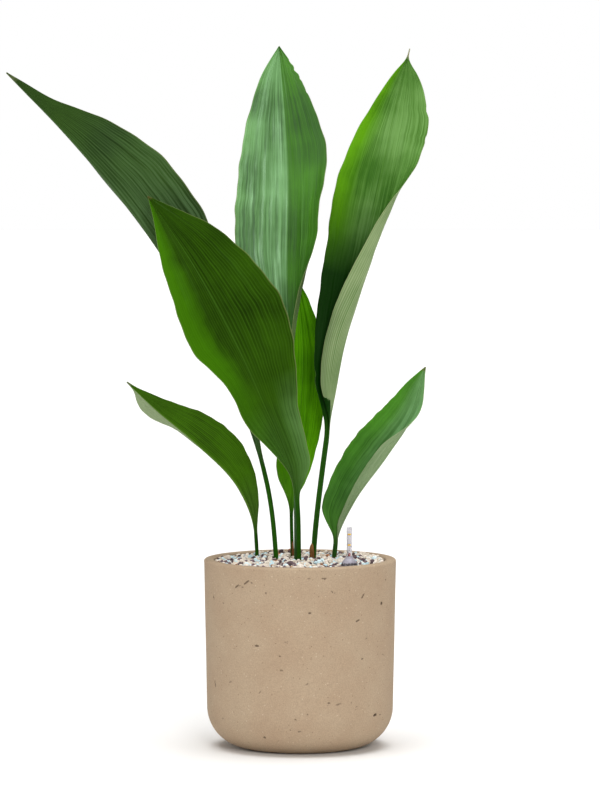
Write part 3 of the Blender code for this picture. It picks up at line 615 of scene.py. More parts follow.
def fine_relief(blade, columns, seed):
    """Height in mm of the folds and veins: sines across the blade whose phases drift slowly along it."""
    drift = np.random.default_rng(seed).uniform(0, 2 * np.pi, (len(FINE_FOLDS), 2))
    height = np.zeros((len(blade), len(columns)))
    for (folds, tall), (start, sway) in zip(FINE_FOLDS, drift):
        phase = start + FOLD_DRIFT * np.sin(2 * np.pi * (0.7 + 0.1 * folds) * blade + sway)
        height += tall * np.sin(2 * np.pi * folds * columns + phase[:, None])
    vein = ((1 + np.cos(2 * np.pi * VEINS * columns)) / 2) ** 3
    off_midrib = np.clip((columns - MIDRIB_WIDTH) / MIDRIB_WIDTH, 0, 1)
    return off_midrib * (height * (1 - MARGIN_CALM * columns ** 4) - VEIN_DEPTH * vein)


def half_width(leaf, side, blade):
    """Half the blade's width in mm at each row: its table, a margin that isn't quite even, and its nicks."""
    half = (1 + side) // 2
    width = through(leaf["halves"], blade)[:, half]
    inside = np.clip(np.minimum(blade, 1 - blade) / 0.1, 0, 1)
    (long, high), (short, low) = MARGIN_WAVES
    width *= 1 + inside * (high * np.sin(long * blade + 2 * side) + low * np.sin(short * blade + half))
    for at, nick_side, depth, length in leaf.get("nicks", ()):
        if nick_side == side:
            width -= depth * np.exp(-((blade - at) / length) ** 2)
    return width


def half_section(leaf, side, blade, columns, seed):
    """One half of the leaf's section, as places across and up for its upper and its lower face.

    A point on the arc is the width over the curl, times the change of the angle's sine across and cosine up.
    """
    half = (1 + side) // 2
    width = half_width(leaf, side, blade)[:, None]
    rise, curl = np.radians(through(leaf["folds"], blade)).T[2 * half:2 * half + 2, :, None]
    curl = np.where(np.abs(curl) < 1e-6, 1e-6, curl)
    angle = rise + curl * columns
    across = side * width * (np.sin(angle) - np.sin(rise)) / curl
    up = width * (np.cos(rise) - np.cos(angle)) / curl
    lean = np.where(columns == 0, 0, -side * np.sin(angle))
    stand = np.where(columns == 0, 1, np.cos(angle))

    height, waves, phase = leaf["wave"]
    ripple = height * np.sin(2 * np.pi * (waves * blade + phase)) * np.sqrt(np.sin(np.pi * blade).clip(0))
    pleat = PLEAT_HEIGHT * np.cos(2 * np.pi * PLEATS * columns) * (columns > MIDRIB_WIDTH)
    narrow = np.clip(width / FULL_RELIEF_WIDTH, 0, 1)
    sway = side * ripple[:, None] * columns ** 2 + pleat + narrow * fine_relief(blade, columns, seed + half)
    near_midrib = np.exp(-(columns / MIDRIB_WIDTH) ** 2)
    thickness = BLADE_THICKNESS + (MARGIN_THICKNESS - BLADE_THICKNESS) * columns ** 6
    top = sway + thickness / 2 - MIDRIB_GROOVE * near_midrib
    bottom = sway - thickness / 2 - KEEL * (KEEL_FADE - blade[:, None]) * near_midrib

    turn = np.radians(STALK_REACH * columns)
    groove = leaf["stalk"] * (1 - STALK_GROOVE * np.exp(-(columns / GROOVE_WIDTH) ** 2))
    stalk_top = side * groove * np.sin(turn), groove * np.cos(turn)
    stalk_bottom = side * leaf["stalk"] * np.sin(turn), -leaf["stalk"] * np.cos(turn)

    blend = np.clip(blade / BLEND_SHARE, 0, 1)[:, None]
    blend = blend * blend * (3 - 2 * blend)
    return [
        (blend * (across + lean * offset) + (1 - blend) * stalk[0],
         blend * (up + stand * offset) + (1 - blend) * stalk[1])
        for offset, stalk in ((top, stalk_top), (bottom, stalk_bottom))
    ]


print("narrowest fold in mm, half a blade being 50:", round(50 / FINE_FOLDS[-1][0], 1))

# %% [markdown]
# ### A whole leaf
#
# The two halves' upper faces run from the left margin to the right one, and their lower faces back again, so
# each row is a closed ring. Three numbers go along with each point, and the finish reads them: how far across
# the blade it lies, how far up the leaf in metres, and how far up the blade as a share.

# %% Leaf surface


def leaf_surface(leaf, seed):
    """The leaf's points, ring by ring, its faces, each face's skin (0 upper, 1 lower) and its attributes.

    A row's frame has its origin on the spine, one axis to the leaf's right and one along its face's normal.
    """
    start = leaf["blade_from"]
    below = np.linspace(0, start, STALK_ROWS, endpoint=False)
    shares = np.concatenate([below, np.linspace(start, 1, BLADE_ROWS)])
    blade = np.clip((shares - start) / (1 - start), 0, 1)
    middle, right, normal = leaf_frames(leaf, shares, blade)
    left_half, right_half = (half_section(leaf, side, blade, COLUMNS, seed) for side in (-1, 1))
    skins = []
    for (left_x, left_z), (right_x, right_z) in zip(left_half, right_half):
        x = np.concatenate([left_x[:, :0:-1], right_x], axis=1)[..., None]
        z = np.concatenate([left_z[:, :0:-1], right_z], axis=1)[..., None]
        skins.append(middle[:, None] + x * right[:, None] + z * normal[:, None])
    ring = np.concatenate([skins[0], skins[1][:, ::-1]], axis=1)
    rows, around = ring.shape[:2]
    points, faces = stacked(ring)
    skin_of = np.tile(np.arange(around) >= around // 2 - 1, rows - 1)
    across = np.concatenate([-COLUMNS[:0:-1], COLUMNS])
    length = np.concatenate([[0], np.cumsum(np.linalg.norm(np.diff(middle, axis=0), axis=1))]) * MM
    attributes = {
        "across": np.tile(np.concatenate([across, across[::-1]]), (rows, 1)),
        "along": np.repeat(length[:, None], around, axis=1),
        "blade": np.repeat(blade[:, None], around, axis=1),
    }
    return points, faces, np.append(skin_of, [True, True]).astype(np.int32), attributes


print("points round a leaf's section:", 2 * (2 * len(COLUMNS) - 1))

# %% [markdown]
# ### The leaf's finish
#
# The upper skin is a thick waxed leaf surface: dark green and glossy, with streaks that follow the veins. Its
# gloss is broad, and its roughness changes in long patches, which break the shine into bands. The underside
# is matt, with light ribs. Both read the leaf's own numbers: a noise that is stretched far along the leaf and
# short across it makes streaks that converge at the tip and the stalk, as veins do. The coats of colour are
# listed from the lowest to the highest. The veins are 1.5 to 3.5 mm apart where a leaf is widest.

# %% Leaf skins
# a noise's cells in half a blade's width, its cells in a metre of the leaf's length, and its detail
STREAKS = (26.0, 9.0, 4)
PATCHES = (7.0, 14.0, 3)
# pairs of light and dark veins in half a blade
FINE_VEINS = 18
MARGIN_GREEN = "9CA46C"
# dark green of the painted shade on a blade
PAINTED_SHADE_GREEN = "062E02"
# the stalk's greens, whose streaks are partly its own colour and partly painted groove shade and highlight
STALK_SHADE_AND_HIGHLIGHT_GREENS = ("0C2A04", "2C6410")
UNDER_GLOSS = (0.05, 0.5, "B8E0A8")
# share of the ribs' colour in the veins and in the midrib
UPPER_RIBS = (0.16, 0.18)
UNDER_RIBS = (0.45, 0.6)


def flow(tree, across, along, cells, seed, roughness):
    """Noise stretched along a surface: cells are how many lie across it and along it, and its detail."""
    wide, long, detail = cells
    over = add_node(tree, "Math", (across, wide), operation="MULTIPLY")
    up = add_node(tree, "Math", (along, long), operation="MULTIPLY")
    place = add_node(tree, "CombineXYZ", (over, up, seed))
    sockets = {"Vector": place, "Scale": 1.0, "Detail": detail, "Roughness": roughness}
    return add_node(tree, "TexNoise", sockets)


def leaf_skin(name, leaf, own_coats, colours, ribs, gloss, seed):
    """Leaf skin whose streaks go between two greens, under those of the leaf's own coats that are named.

    Gloss is the specular level, the roughness and the tint. A coat is its paint, the number that it follows,
    where on that number it starts and is full, and its full share.
    """
    level, roughness, tint = gloss
    skin, tree, shader = new_material(name, Specular_IOR_Level=level, Specular_Tint=tint)
    place = add_node(tree, "TexCoord", output="Object")
    across, along, blade = (add_node(tree, "Attribute", output="Fac", attribute_name=key)
                            for key in ("across", "along", "blade"))
    clouds = add_node(tree, "TexNoise", {"Vector": place, "Scale": 16, "Detail": 3})
    streaks, patches = (flow(tree, across, along, cells, seed, 0.65) for cells in (STREAKS, PATCHES))
    both = add_node(tree, "Math", (clouds, streaks), operation="ADD")
    turns = add_node(tree, "Math", (across, 2 * math.pi * FINE_VEINS), operation="MULTIPLY")
    vein = add_node(tree, "Math", (turns,), operation="COSINE")
    off = add_node(tree, "Math", (across,), operation="ABSOLUTE")

    light, dark, rib = colours
    own = {key: leaf[key] for key in own_coats if key in leaf}
    coats = [(light, both, 0.76, 1.24)]
    # painted light: a lighter green that spreads from one margin
    if "painted_light_patches" in own:
        side, start, paint, share = own["painted_light_patches"]
        drift = add_node(tree, "MapRange", (clouds, 0.3, 0.7, -0.25, 0.25))
        reach = add_node(tree, "Math", (across, float(side), drift), operation="MULTIPLY_ADD")
        above = add_node(tree, "MapRange", (blade, 0.15, 0.5, 0.0, share))
        coats.append((paint, reach, start, start + 0.55, above))
    if "right_half" in own:
        paint, share = own["right_half"]
        coats.append((paint, across, 0.0, 0.06, share))
    # painted sheen: a pale film where the gloss would catch the key light
    if "painted_sheen" in own:
        paint, share, start, full, low, high = own["painted_sheen"]
        streaked = add_node(tree, "MapRange", (both, 0.82, 1.2, 0.15 * share, share))
        above = add_node(tree, "MapRange", (blade, low, high, 0.0, streaked))
        coats.append((paint, across, start, full, above))
    # painted sheen: paler streaks that rise from the blade's foot
    paint, share, high = own["painted_foot_sheen"]
    streaked = add_node(tree, "MapRange", (streaks, 0.4, 0.62, 0.1, share))
    coats.append((paint, blade, high, 0.4 * high, streaked))
    in_veins, in_midrib = ribs
    coats += [(rib, vein, 0.2, 1.0, in_veins), (rib, off, 0.03, 0.008, in_midrib),
              (MARGIN_GREEN, off, 0.975, 0.998, 0.35)]
    # painted shade: a dark green over part of the upper face
    if "shade" in own:
        share, start, full = own["shade"]
        coats.append((PAINTED_SHADE_GREEN, blade, start, full, share))
    # the stalk's streaks are its own green with painted groove shade and highlight; then the dry tip
    start, paint = own["tip"]
    coats += [(coat(tree, *STALK_SHADE_AND_HIGHLIGHT_GREENS, streaks, 0.35, 0.65), blade, 0.1, 0.02),
              (paint, blade, start, start + 0.012, 0.9)]

    colour = dark
    for layer in coats:
        colour = coat(tree, colour, *layer)
    ridge = add_node(tree, "Math", (vein, 0.12, streaks), operation="MULTIPLY_ADD")
    dress(shader, colour, ridge, 0.3, 0.3)
    worn = add_node(tree, "MapRange", (patches, 0.38, 0.62, roughness - 0.04, roughness + 0.22))
    fill(shader, {"Roughness": worn})
    return skin


for n, (name, leaf) in enumerate(LEAVES.items()):
    light, dark, *under = leaf["skin"]
    upper = leaf_skin(f"waxed_{name}_upper_skin", leaf, ("painted_light_patches", "painted_sheen", "painted_foot_sheen", "shade", "tip"),
                      (light, dark, "4E7C28"), UPPER_RIBS, leaf["gloss"], 3.0 * n)
    lower = leaf_skin(f"matt_{name}_underside", leaf, ("right_half", "painted_foot_sheen", "tip"), under, UNDER_RIBS,
                      UNDER_GLOSS, 3.0 * n + 1)
    points, faces, skin_of, attributes = leaf_surface(leaf, 10 * n)
    piece = add_piece(name.replace("leaf", "blade_and_stalk"), points, faces, [upper, lower], "leaf",
                      replaces=[name], attributes=attributes, sharp=50)
    piece.data.polygons.foreach_set("material_index", skin_of)

# %% [markdown]
# ## The dry sheaths
#
# Each new leaf grows out through papery scales, and the last of them stays at the stalk's foot until it rots.
# It could be a cloth wrapped by a modifier. Here it is a strip of a cone whose arc narrows to a point as it
# rises, and it stands off the stalk more and more, as a dried scale does. Fibres run up it, so its outer side
# is ribbed by a sine across, and its edges are frayed by a second one along.

# %% Dry sheaths
SHEATH_THICKNESS = 0.7
SHEATH_ARC = 80.0
SHEATH_FLARE = 1.6
SHEATH_FOOT = 186.0
SHEATH_TAPER = 0.93
SHEATH_RIBS = 12
SHEATH_RIB = 0.07
SHEATH_FRAY = 0.05
FRAY_WAVES = 61
SHEATH_CLEARANCE = 0.15
TOUCH_GAP = 0.3
# leaf, side in degrees, height in mm, how far the point leans round the stalk, and the arc's share
SHEATHS = {
    "dry_sheath_right": ("leaf_right", -60, 23, 35, 1.0),
    "dry_sheath_behind": ("leaf_behind", 20, 24, -15, 0.45),
}


def sheath_surface(leaf, side, height, lean, share):
    """Rings of a scale: its outer skin from one edge to the other, and its inner skin back.

    A point is the stalk's middle plus the radius times (sine, -cosine) of its turn. The turn's reach shrinks
    with the square of the height, and the radius grows with its cube.
    """
    up = np.linspace(0, 1, 46)[:, None]
    turn = np.linspace(-1, 1, 41)
    centre = stalk_path(LEAVES[leaf], SHEATH_FOOT + height * up[:, 0])
    fray = 1 + SHEATH_FRAY * np.sin(FRAY_WAVES * up) * np.abs(turn) ** 3
    reach = share * SHEATH_ARC * (1 - SHEATH_TAPER * up ** 2)
    angle = np.radians(side + lean * up ** 2 + reach * turn * fray)
    inner = LEAVES[leaf]["stalk"] + TOUCH_GAP + SHEATH_CLEARANCE + SHEATH_FLARE * up ** 3
    ribs = SHEATH_RIB * np.sin(SHEATH_RIBS * np.pi * turn + 3 * up)
    outer, inner = (
        np.stack([centre[:, :1] + radius * np.sin(angle), centre[:, 1:2] - radius * np.cos(angle),
                  np.repeat(centre[:, 2:], len(turn), axis=1)], axis=-1)
        for radius in (inner + SHEATH_THICKNESS - SHEATH_RIB + ribs, inner))
    ring = np.concatenate([outer, inner[:, ::-1]], axis=1)
    across = np.tile(np.concatenate([turn, turn[::-1]]), (len(up), 1))
    return *stacked(ring), {"across": across, "up": np.repeat(up, across.shape[1], axis=1)}


husk, tree, shader = new_material("papery_dry_leaf_sheath", Roughness=0.75, Specular_IOR_Level=0.3)
across, up = (add_node(tree, "Attribute", output="Fac", attribute_name=key) for key in ("across", "up"))
fibres = flow(tree, across, up, (14.0, 1.6, 4), 0.0, 0.7)
colour = coat(tree, "3E2614", "96622F", fibres, 0.38, 0.6)
dress(shader, coat(tree, colour, "C08A52", up, 0.6, 1.0, 0.7), fibres, 0.6, 0.3)

for name, numbers in SHEATHS.items():
    points, faces, attributes = sheath_surface(*numbers)
    add_piece(name.replace("dry_sheath", "papery_scale"), points, faces, [husk], "dry_sheath",
              replaces=[name], attributes=attributes, sharp=60)

# %% [markdown]
# ## The rhizome
#
# The leaves rise from a creeping rhizome that lies in the granules, with thick roots below it. The frame's
# own solid shows it well enough, because nothing of it is seen from outside, so it is kept and only gets
# its skin: brown cork ringed by the scars of old scales, which a wave across the object gives.

# %% The rhizome's skin
cork, tree, shader = new_material("corky_rhizome_skin", Roughness=0.85, Specular_IOR_Level=0.2)
place = add_node(tree, "TexCoord", output="Object")
rings = add_node(tree, "TexWave", {"Vector": place, "Scale": 60.0, "Distortion": 4.0, "Detail": 3.0,
                                   "Detail Scale": 2.0}, "Fac", bands_direction="X")
fibres = add_node(tree, "TexNoise", {"Vector": place, "Scale": 400, "Detail": 3})
colour = coat(tree, "4E3622", "8E6C46", rings, 0.0, 1.0)
dress(shader, coat(tree, colour, "C2A67C", fibres, 0.35, 0.7, 0.5), rings, 0.5, 0.5)
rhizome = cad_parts["rhizome"]
rhizome.data.materials.clear()
rhizome.data.materials.append(cork)
print("rhizome finish:", cork.name)

# %% [markdown]
# ## The water gauge
#
# Planters without a drain hole carry a gauge: a float rides in a slotted tube that stands in the water at the
# bottom, and its red rod shows in a clear tube above the granules. All its parts are turned ones, moulded in
# plastic. The skirt that covers the hole in the granules is a soft dome. The slots that let the water in are
# cut by a Boolean, whose result is taken as the piece's mesh, so that its place stays in the mesh.

# %% The gauge's form
GAUGE_PLACE = (51.0, -32.0)
HOUSING_RADIUS = 7.2
HOUSING_BORE = 6.2
HOUSING_FOOT = 17.3
FOOT_PLATE = HOUSING_FOOT + 1.5
SKIRT_RADIUS = 8.8
SKIRT_TOP = 201.5
SKIRT_RIM = 190.5
SKIRT_EDGE = 1.5
DOME_HEIGHT = 8.9
DOME_END = 78
CEILING = SKIRT_TOP - 13.5
SIGHT_RADIUS = 2.8
SIGHT_BORE = 1.9
SIGHT_TOP = 231.5
SIGHT_CAP = 1.2
SOCKET_FLOOR = SKIRT_TOP - 6.0
FLOAT_RADIUS = 5.4
FLOAT_LOW = FOOT_PLATE + TOUCH_GAP
FLOAT_HIGH = FLOAT_LOW + 45.0
ROD_RADIUS = 1.2
ROD_TOP = 204.6
ROD_CLEARANCE = 0.6
SLOT_WIDTH = 3.0
SLOT_HEIGHT = 18.0
SLOT_FOOT = HOUSING_FOOT + 2.5
MARK_HEIGHTS = (224.5, 213.5)
MARK_REACH = 1.6
MARK_HALF = 0.8
MILKY_CLEARNESS = 0.64


def gauge_housing():
    """The housing's profile: up its wall, over the skirt's dome and collar, and down its socket and bore.

    The dome's radius goes with the cosine of an angle, and its height with the sine to the power of 1.5.
    """
    socket = SIGHT_RADIUS + TOUCH_GAP
    guide = ROD_RADIUS + ROD_CLEARANCE
    angle = np.radians(np.linspace(0, DOME_END, 24))
    rise = DOME_HEIGHT * np.sin(angle) ** 1.5
    dome = np.column_stack([SKIRT_RADIUS * np.cos(angle), SKIRT_RIM + SKIRT_EDGE + rise])
    dome = dome[dome[:, 0] > socket + 1.0]
    wall = [(HOUSING_RADIUS, HOUSING_FOOT), (HOUSING_RADIUS, SKIRT_RIM)]
    outside = [(0, HOUSING_FOOT), wall[0], *run(*wall, 4), wall[1],
               (SKIRT_RADIUS - 0.3, SKIRT_RIM), (SKIRT_RADIUS, SKIRT_RIM + 0.3)]
    collar = [(socket + 0.7, SKIRT_TOP - 0.6), (socket + 0.6, SKIRT_TOP - 0.2), (socket + 0.4, SKIRT_TOP),
              (socket, SKIRT_TOP)]
    inside = [(socket, SOCKET_FLOOR), (guide, SOCKET_FLOOR), (guide, CEILING), (HOUSING_BORE, CEILING),
              (HOUSING_BORE, FOOT_PLATE), (0, FOOT_PLATE)]
    return turned(np.concatenate([outside, dome, collar, inside]), 72, GAUGE_PLACE)


def gauge_float():
    """The float with its rod: a rounded cylinder, a cone up to the rod, and the rod's round tip."""
    edge = FLOAT_RADIUS - 1
    rod_foot = (ROD_RADIUS, FLOAT_HIGH + 3)
    return turned(np.concatenate([
        [(0, FLOAT_LOW)], arc((edge, FLOAT_LOW + 1), 1, -90, 0, 6), arc((edge, FLOAT_HIGH - 1), 1, 0, 90, 6),
        [(ROD_RADIUS + 0.4, FLOAT_HIGH + 1.6), rod_foot], run(rod_foot, (ROD_RADIUS, ROD_TOP), 12),
        arc((0, ROD_TOP - ROD_RADIUS), ROD_RADIUS, 0, 90, 6)[:-1], [(0, ROD_TOP)]]), 48, GAUGE_PLACE)


def sight_tube():
    """The clear tube's profile: down its bore from its closed end, and up its outside to a rounded cap."""
    foot = SOCKET_FLOOR + TOUCH_GAP
    ceiling = SIGHT_TOP - SIGHT_CAP
    return turned(np.concatenate([
        [(0, ceiling), (SIGHT_BORE, ceiling), (SIGHT_BORE, foot), (SIGHT_RADIUS - 0.2, foot),
         (SIGHT_RADIUS, foot + 0.2)], run((SIGHT_RADIUS, foot), (SIGHT_RADIUS, SIGHT_TOP), 12),
        arc((SIGHT_RADIUS - 0.5, SIGHT_TOP - 0.5), 0.5, 0, 90, 5), [(0, SIGHT_TOP)]]), 64, GAUGE_PLACE)


def slotted(piece):
    """Cuts the four slots: two boxes that cross in the housing's middle."""
    corners = np.array([(x, y, z) for x in (-1, 1) for y in (-1, 1) for z in (-1, 1)])
    x, y, z = (corners * (1.5 * HOUSING_RADIUS, SLOT_WIDTH / 2, SLOT_HEIGHT / 2)).T
    sides = [(0, 1, 3, 2), (4, 6, 7, 5), (0, 4, 5, 1), (2, 3, 7, 6), (0, 2, 6, 4), (1, 5, 7, 3)]
    for turn in np.radians((45, 135)):
        box = np.column_stack([x * math.cos(turn) - y * math.sin(turn) + GAUGE_PLACE[0],
                               x * math.sin(turn) + y * math.cos(turn) + GAUGE_PLACE[1],
                               z + SLOT_FOOT + SLOT_HEIGHT / 2]) * MM
        mesh = bpy.data.meshes.new("slot")
        mesh.from_pydata(box, [], sides)
        cutter = bpy.data.objects.new("slot", mesh)
        scene.collection.objects.link(cutter)
        piece.modifiers.new("Slots", "BOOLEAN").object = cutter
        graph = bpy.context.evaluated_depsgraph_get()
        made = bpy.data.meshes.new_from_object(piece.evaluated_get(graph))
        piece.modifiers.clear()
        piece.data = made
        bpy.data.objects.remove(cutter)


print("float travel in mm:", round(CEILING - FLOAT_HIGH, 1))

# %% [markdown]
# ### Its plastics
#
# The housing is grey moulded plastic with a soft gloss and light dust, and painted shade darkens it round the
# skirt's rim where it sits in the granules. The sight tube is clear plastic that turns milky above the rod's
# tip, with two short yellow marks printed on its front for a low and a high level. The float is red dyed
# plastic, with the moulder's fine texture on it.

# %% Gauge finishes
grey, tree, shader = new_material("moulded_grey_plastic", Specular_IOR_Level=0.5)
place = add_node(tree, "TexCoord", output="Object")
height = add_node(tree, "SeparateXYZ", (place,), "Z")
dust = add_node(tree, "TexNoise", {"Vector": place, "Scale": 500, "Detail": 3})
level = add_node(tree, "Math", (dust, 2.4 * MM, height), operation="MULTIPLY_ADD")
# painted shade: the housing darkens to near black round the skirt's rim, where it meets the granules
colour = coat(tree, "A09CA8", "2C2428", level, (SKIRT_RIM + 6.2) * MM, (SKIRT_RIM + 4.8) * MM, 0.97)
fill(shader, {"Base Color": coat(tree, colour, "D2CED6", dust, 0.5, 0.75, 0.35),
              "Roughness": add_node(tree, "MapRange", (dust, 0.3, 0.7, 0.3, 0.55))})

clear, tree, shader = new_material("milky_clear_plastic", Roughness=0.12, IOR=1.49)
place = add_node(tree, "TexCoord", output="Object")
x, y, z = add_node(tree, "SeparateXYZ", (place,)).node.outputs
aside = add_node(tree, "Math", (x, GAUGE_PLACE[0] * MM), operation="SUBTRACT")
narrow = add_node(tree, "Math", (aside, 0.0, MARK_REACH * MM), operation="COMPARE")
front = add_node(tree, "Math", (y, (GAUGE_PLACE[1] - SIGHT_BORE) * MM), operation="LESS_THAN")
printed = add_node(tree, "Math", (narrow, front), operation="MULTIPLY")
levels = [add_node(tree, "Math", (z, height * MM, MARK_HALF * MM), operation="COMPARE")
          for height in MARK_HEIGHTS]
either = add_node(tree, "Math", levels, operation="ADD")
inked = add_node(tree, "Math", (printed, either), operation="MULTIPLY")
haze = add_node(tree, "TexNoise", {"Vector": place, "Scale": 300, "Detail": 2})
milk = coat(tree, "E4E2E8", "F2F0F4", haze, 0.35, 0.65)
unmilked = add_node(tree, "MapRange", (z, (ROD_TOP + 2.5) * MM, (ROD_TOP + 0.5) * MM, MILKY_CLEARNESS, 1.0))
fill(shader, {"Base Color": coat(tree, milk, "E0B020", inked, 0.0, 1.0),
              "Transmission Weight": add_node(tree, "Math", (unmilked, inked), operation="SUBTRACT")})

red, tree, shader = new_material("red_dyed_plastic", Roughness=0.4, Specular_IOR_Level=0.5)
place = add_node(tree, "TexCoord", output="Object")
grain = add_node(tree, "TexNoise", {"Vector": place, "Scale": 900, "Detail": 2})
dress(shader, coat(tree, "9A2010", "B83420", grain, 0.35, 0.65), grain, 0.2, 0.1)

housing = add_piece("gauge_tube_and_skirt", *gauge_housing(), [grey], "gauge_grey",
                    replaces=["gauge_housing"])
slotted(housing)
housing.data.shade_smooth()
housing.data.set_sharp_from_angle(angle=math.radians(40))
add_piece("clear_sight_tube", *sight_tube(), [clear], "gauge_clear", replaces=["gauge_sight_tube"], sharp=40)
add_piece("red_float_and_rod", *gauge_float(), [red], "gauge_red", "float", replaces=["gauge_float"],
          sharp=40)

# %% [markdown]
# ## The granules
#
# The mineral bed is crushed and sieved rock: pumice, zeolite and lava, in pieces of about 3 to 7 mm. They
# could be a particle system. Here they are laid by rule, on a jittered triangular lattice with larger ones
# strewn on top, so that the same seed gives the same bed. Each is an icosahedron with a point in every face:
# 60 facets, pushed in and out at random, stretched unevenly and turned by a random quaternion.

# %% One grain and its copies
BED_SPACING = 4.4
BED_RADIUS = 88.4
BED_LEVEL = 192.2
BED_DROP = 6.5
JITTER = 0.9
LATTICE_RADII = (1.7, 2.6)
LATTICE_LEVELS = (-0.8, 0.7)
TOP_GRAINS = 520
TOP_RADII = (1.8, 3.3)
TOP_LIFT = 1.1
TOP_LEVELS = (-0.5, 0.9)
WALL_HEAP = 1.8
HEAP_FROM = 78.0
HEAP_WIDTH = 10.0
GAUGE_DIP = 5.2
DIP_WIDTH = 26.0


def grain_form():
    """Points and triangles of an icosahedron whose every face carries one more point, at length 1.

    Its corners are those of three golden rectangles that cross at right angles.
    """
    golden = (1 + math.sqrt(5)) / 2
    corners = unit(np.array([(x, y, 0) for x in (-1, 1) for y in (-golden, golden)]
                            + [(0, y, z) for y in (-1, 1) for z in (-golden, golden)]
                            + [(x, 0, z) for z in (-1, 1) for x in (-golden, golden)], float))
    near = np.linalg.norm(corners[:, None] - corners[None], axis=2) < 1.1
    triples = [(a, b, c) for a in range(12) for b in range(a + 1, 12) for c in range(b + 1, 12)
               if near[a, b] and near[b, c] and near[a, c]]
    outward = [(a, b, c) if np.dot(np.cross(corners[b] - corners[a], corners[c] - corners[a]), corners[a]) > 0
               else (a, c, b) for a, b, c in triples]
    middles = unit(np.array([corners[list(t)].mean(axis=0) for t in outward]))
    faces = [(t[i], t[(i + 1) % 3], 12 + n) for n, t in enumerate(outward) for i in range(3)]
    return np.vstack([corners, middles]), np.array(faces)


def turning(quaternions):
    """Rotation matrices of unit quaternions, by the usual products of their four numbers."""
    w, x, y, z = unit(quaternions).T
    return np.stack([
        np.stack([1 - 2 * (y * y + z * z), 2 * (x * y - w * z), 2 * (x * z + w * y)], axis=-1),
        np.stack([2 * (x * y + w * z), 1 - 2 * (x * x + z * z), 2 * (y * z - w * x)], axis=-1),
        np.stack([2 * (x * z - w * y), 2 * (y * z + w * x), 1 - 2 * (x * x + y * y)], axis=-1)], axis=1)


def grain_places(chance):
    """Places, radii and levels of the grains in mm: a full lattice, and larger ones strewn on it.

    They lie heaped against the wall, and lower round the gauge's skirt.
    """
    reach = int(BED_RADIUS / BED_SPACING * 1.3)
    i, j = np.meshgrid(np.arange(-reach, reach + 1), np.arange(-reach, reach + 1))
    lattice = np.column_stack([(i + j / 2).ravel(), j.ravel() * math.sqrt(0.75)]) * BED_SPACING
    lattice += chance.uniform(-JITTER, JITTER, lattice.shape)
    size = chance.uniform(*LATTICE_RADII, len(lattice))
    level = BED_LEVEL + chance.uniform(*LATTICE_LEVELS, len(lattice))
    turn = chance.uniform(0, 2 * np.pi, TOP_GRAINS)
    out = BED_RADIUS * np.sqrt(chance.uniform(0, 1, TOP_GRAINS))
    strewn = np.column_stack([out * np.cos(turn), out * np.sin(turn)])
    places = np.vstack([lattice, strewn])
    radii = np.concatenate([size, chance.uniform(*TOP_RADII, TOP_GRAINS)])
    levels = np.concatenate([level, BED_LEVEL + TOP_LIFT + chance.uniform(*TOP_LEVELS, TOP_GRAINS)])
    by_gauge = np.exp(-((np.linalg.norm(places - GAUGE_PLACE, axis=1) - SKIRT_RADIUS) / DIP_WIDTH) ** 2)
    by_wall = np.clip((np.linalg.norm(places, axis=1) - HEAP_FROM) / HEAP_WIDTH, 0, 1)
    return places, radii, levels + WALL_HEAP * by_wall * (1 - by_gauge) - GAUGE_DIP * by_gauge


def clear_of(places, radii):
    """Which grains lie inside the planter's wall and clear of the stalks, the dry sheaths and the gauge.

    A grain may touch its neighbour with a part of its radius, because it is uneven.
    """
    inside = np.linalg.norm(places, axis=1) + 0.85 * radii < BED_RADIUS
    stalks = [(leaf, 0.3, 0.75) for leaf in LEAVES.values()]
    sheathed = [(LEAVES[leaf], 1.2, 0.8) for leaf, *_ in SHEATHS.values()]
    for leaf, margin, share in stalks + sheathed:
        foot = stalk_path(leaf, [BED_LEVEL])[0, :2]
        inside &= np.linalg.norm(places - foot, axis=1) > leaf["stalk"] + margin + share * radii
    return inside & (np.linalg.norm(places - GAUGE_PLACE, axis=1) > SKIRT_RADIUS + 0.7 * radii)


form, form_faces = grain_form()
chance = np.random.default_rng(29)
places, radii, levels = grain_places(chance)
kept = clear_of(places, radii)
places, radii, levels = places[kept], radii[kept], levels[kept]
print("grains:", len(places), "facets in each:", len(form_faces))

# %% [markdown]
# ### The grains' stone
#
# Four stones make the mix: cream pumice, pale blue-white zeolite, mauve-brown lava, and a few rusty grains.
# All are matt and porous. Each grain carries a tone of its own, so that no two of a kind look alike, and a
# fine noise gives the pores. The bed below them is the frame's own solid, taken as a merged copy whose top is
# cut down to 6.5 mm below the grains' level, so that only its dark grit, painted shade, shows between them.

# %% Grains by colour
STONES = {
    # share, light, dark
    "cream_pumice": (0.54, "F6ECE0", "D2C4B2"),
    "pale_zeolite": (0.17, "E6F8FC", "BAD8E0"),
    "mauve_lava": (0.26, "846F74", "4A3A3C"),
    "rusty_lava": (0.03, "B88458", "80543C"),
}


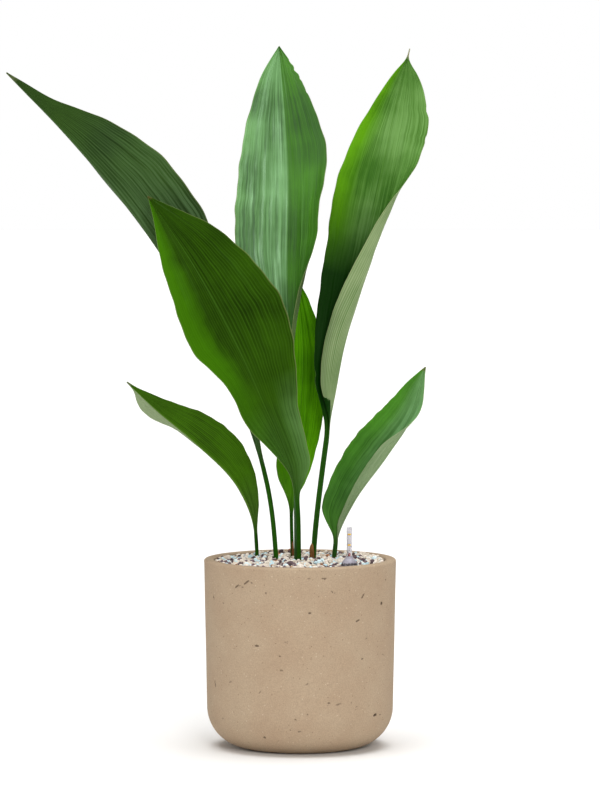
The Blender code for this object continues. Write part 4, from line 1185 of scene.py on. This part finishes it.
def stone_skin(name, light, dark):
    """Matt porous stone between two colours, by the grain's own tone and a noise of about a millimetre."""
    skin, tree, shader = new_material(name, Roughness=0.88, Specular_IOR_Level=0.25)
    place = add_node(tree, "TexCoord", output="Object")
    tone = add_node(tree, "Attribute", output="Fac", attribute_name="tone")
    pores = add_node(tree, "TexNoise", {"Vector": place, "Scale": 900, "Detail": 3, "Roughness": 0.7})
    both = add_node(tree, "Math", (tone, pores), operation="ADD")
    dress(shader, coat(tree, dark, light, both, 0.5, 1.5), pores, 0.5, 0.3)
    return skin


kind = chance.choice(len(STONES), len(places), p=[share for share, *_ in STONES.values()])
for n, (name, (_, light, dark)) in enumerate(STONES.items()):
    mine = np.flatnonzero(kind == n)
    rough = form * chance.uniform(0.82, 1.12, (len(mine), len(form), 1))
    stretched = rough * chance.uniform(0.72, 1.1, (len(mine), 1, 3)) * radii[mine, None, None]
    turned_round = np.einsum("nij,npj->npi", turning(chance.normal(size=(len(mine), 4))), stretched)
    middle = np.column_stack([places[mine], levels[mine]])
    points = (turned_round + middle[:, None]).reshape(-1, 3) * MM
    faces = (form_faces + len(form) * np.arange(len(mine))[:, None, None]).reshape(-1, 3)
    tone = np.repeat(chance.uniform(0, 1, len(mine)), len(form))
    add_piece(f"{name}_grains", points, faces.tolist(), [stone_skin(name, light, dark)], "granules",
              attributes={"tone": tone})

# %% The bed below
# the bed's dark grit is painted shade in the gaps between the grains
bed_skin, tree, shader = new_material("painted_shade_mineral_grit", Roughness=0.95, Specular_IOR_Level=0.1)
place = add_node(tree, "TexCoord", output="Object")
from_speck = add_node(tree, "TexVoronoi", {"Vector": place, "Scale": 330}, "Distance")
tone = add_node(tree, "SeparateColor", (from_speck.node.outputs["Color"],))
dress(shader, coat(tree, "2A2322", "8A7C6C", tone, 0.0, 1.0), from_speck, 0.8, 1.0, invert=True)

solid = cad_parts["granule_fill"].data
corners = np.empty(len(solid.vertices) * 3, np.float32)
solid.vertices.foreach_get("co", corners)
merged, index = np.unique(np.round(corners.reshape(-1, 3), 6), axis=0, return_inverse=True)
merged[:, 2] = np.minimum(merged[:, 2], (BED_LEVEL - BED_DROP) * MM)
loops = np.empty(len(solid.loops), np.int32)
solid.loops.foreach_get("vertex_index", loops)
bed_faces = index.reshape(-1)[loops].reshape(-1, 3)
add_piece("granule_bed", merged, bed_faces.tolist(), [bed_skin], "granules", replaces=["granule_fill"])
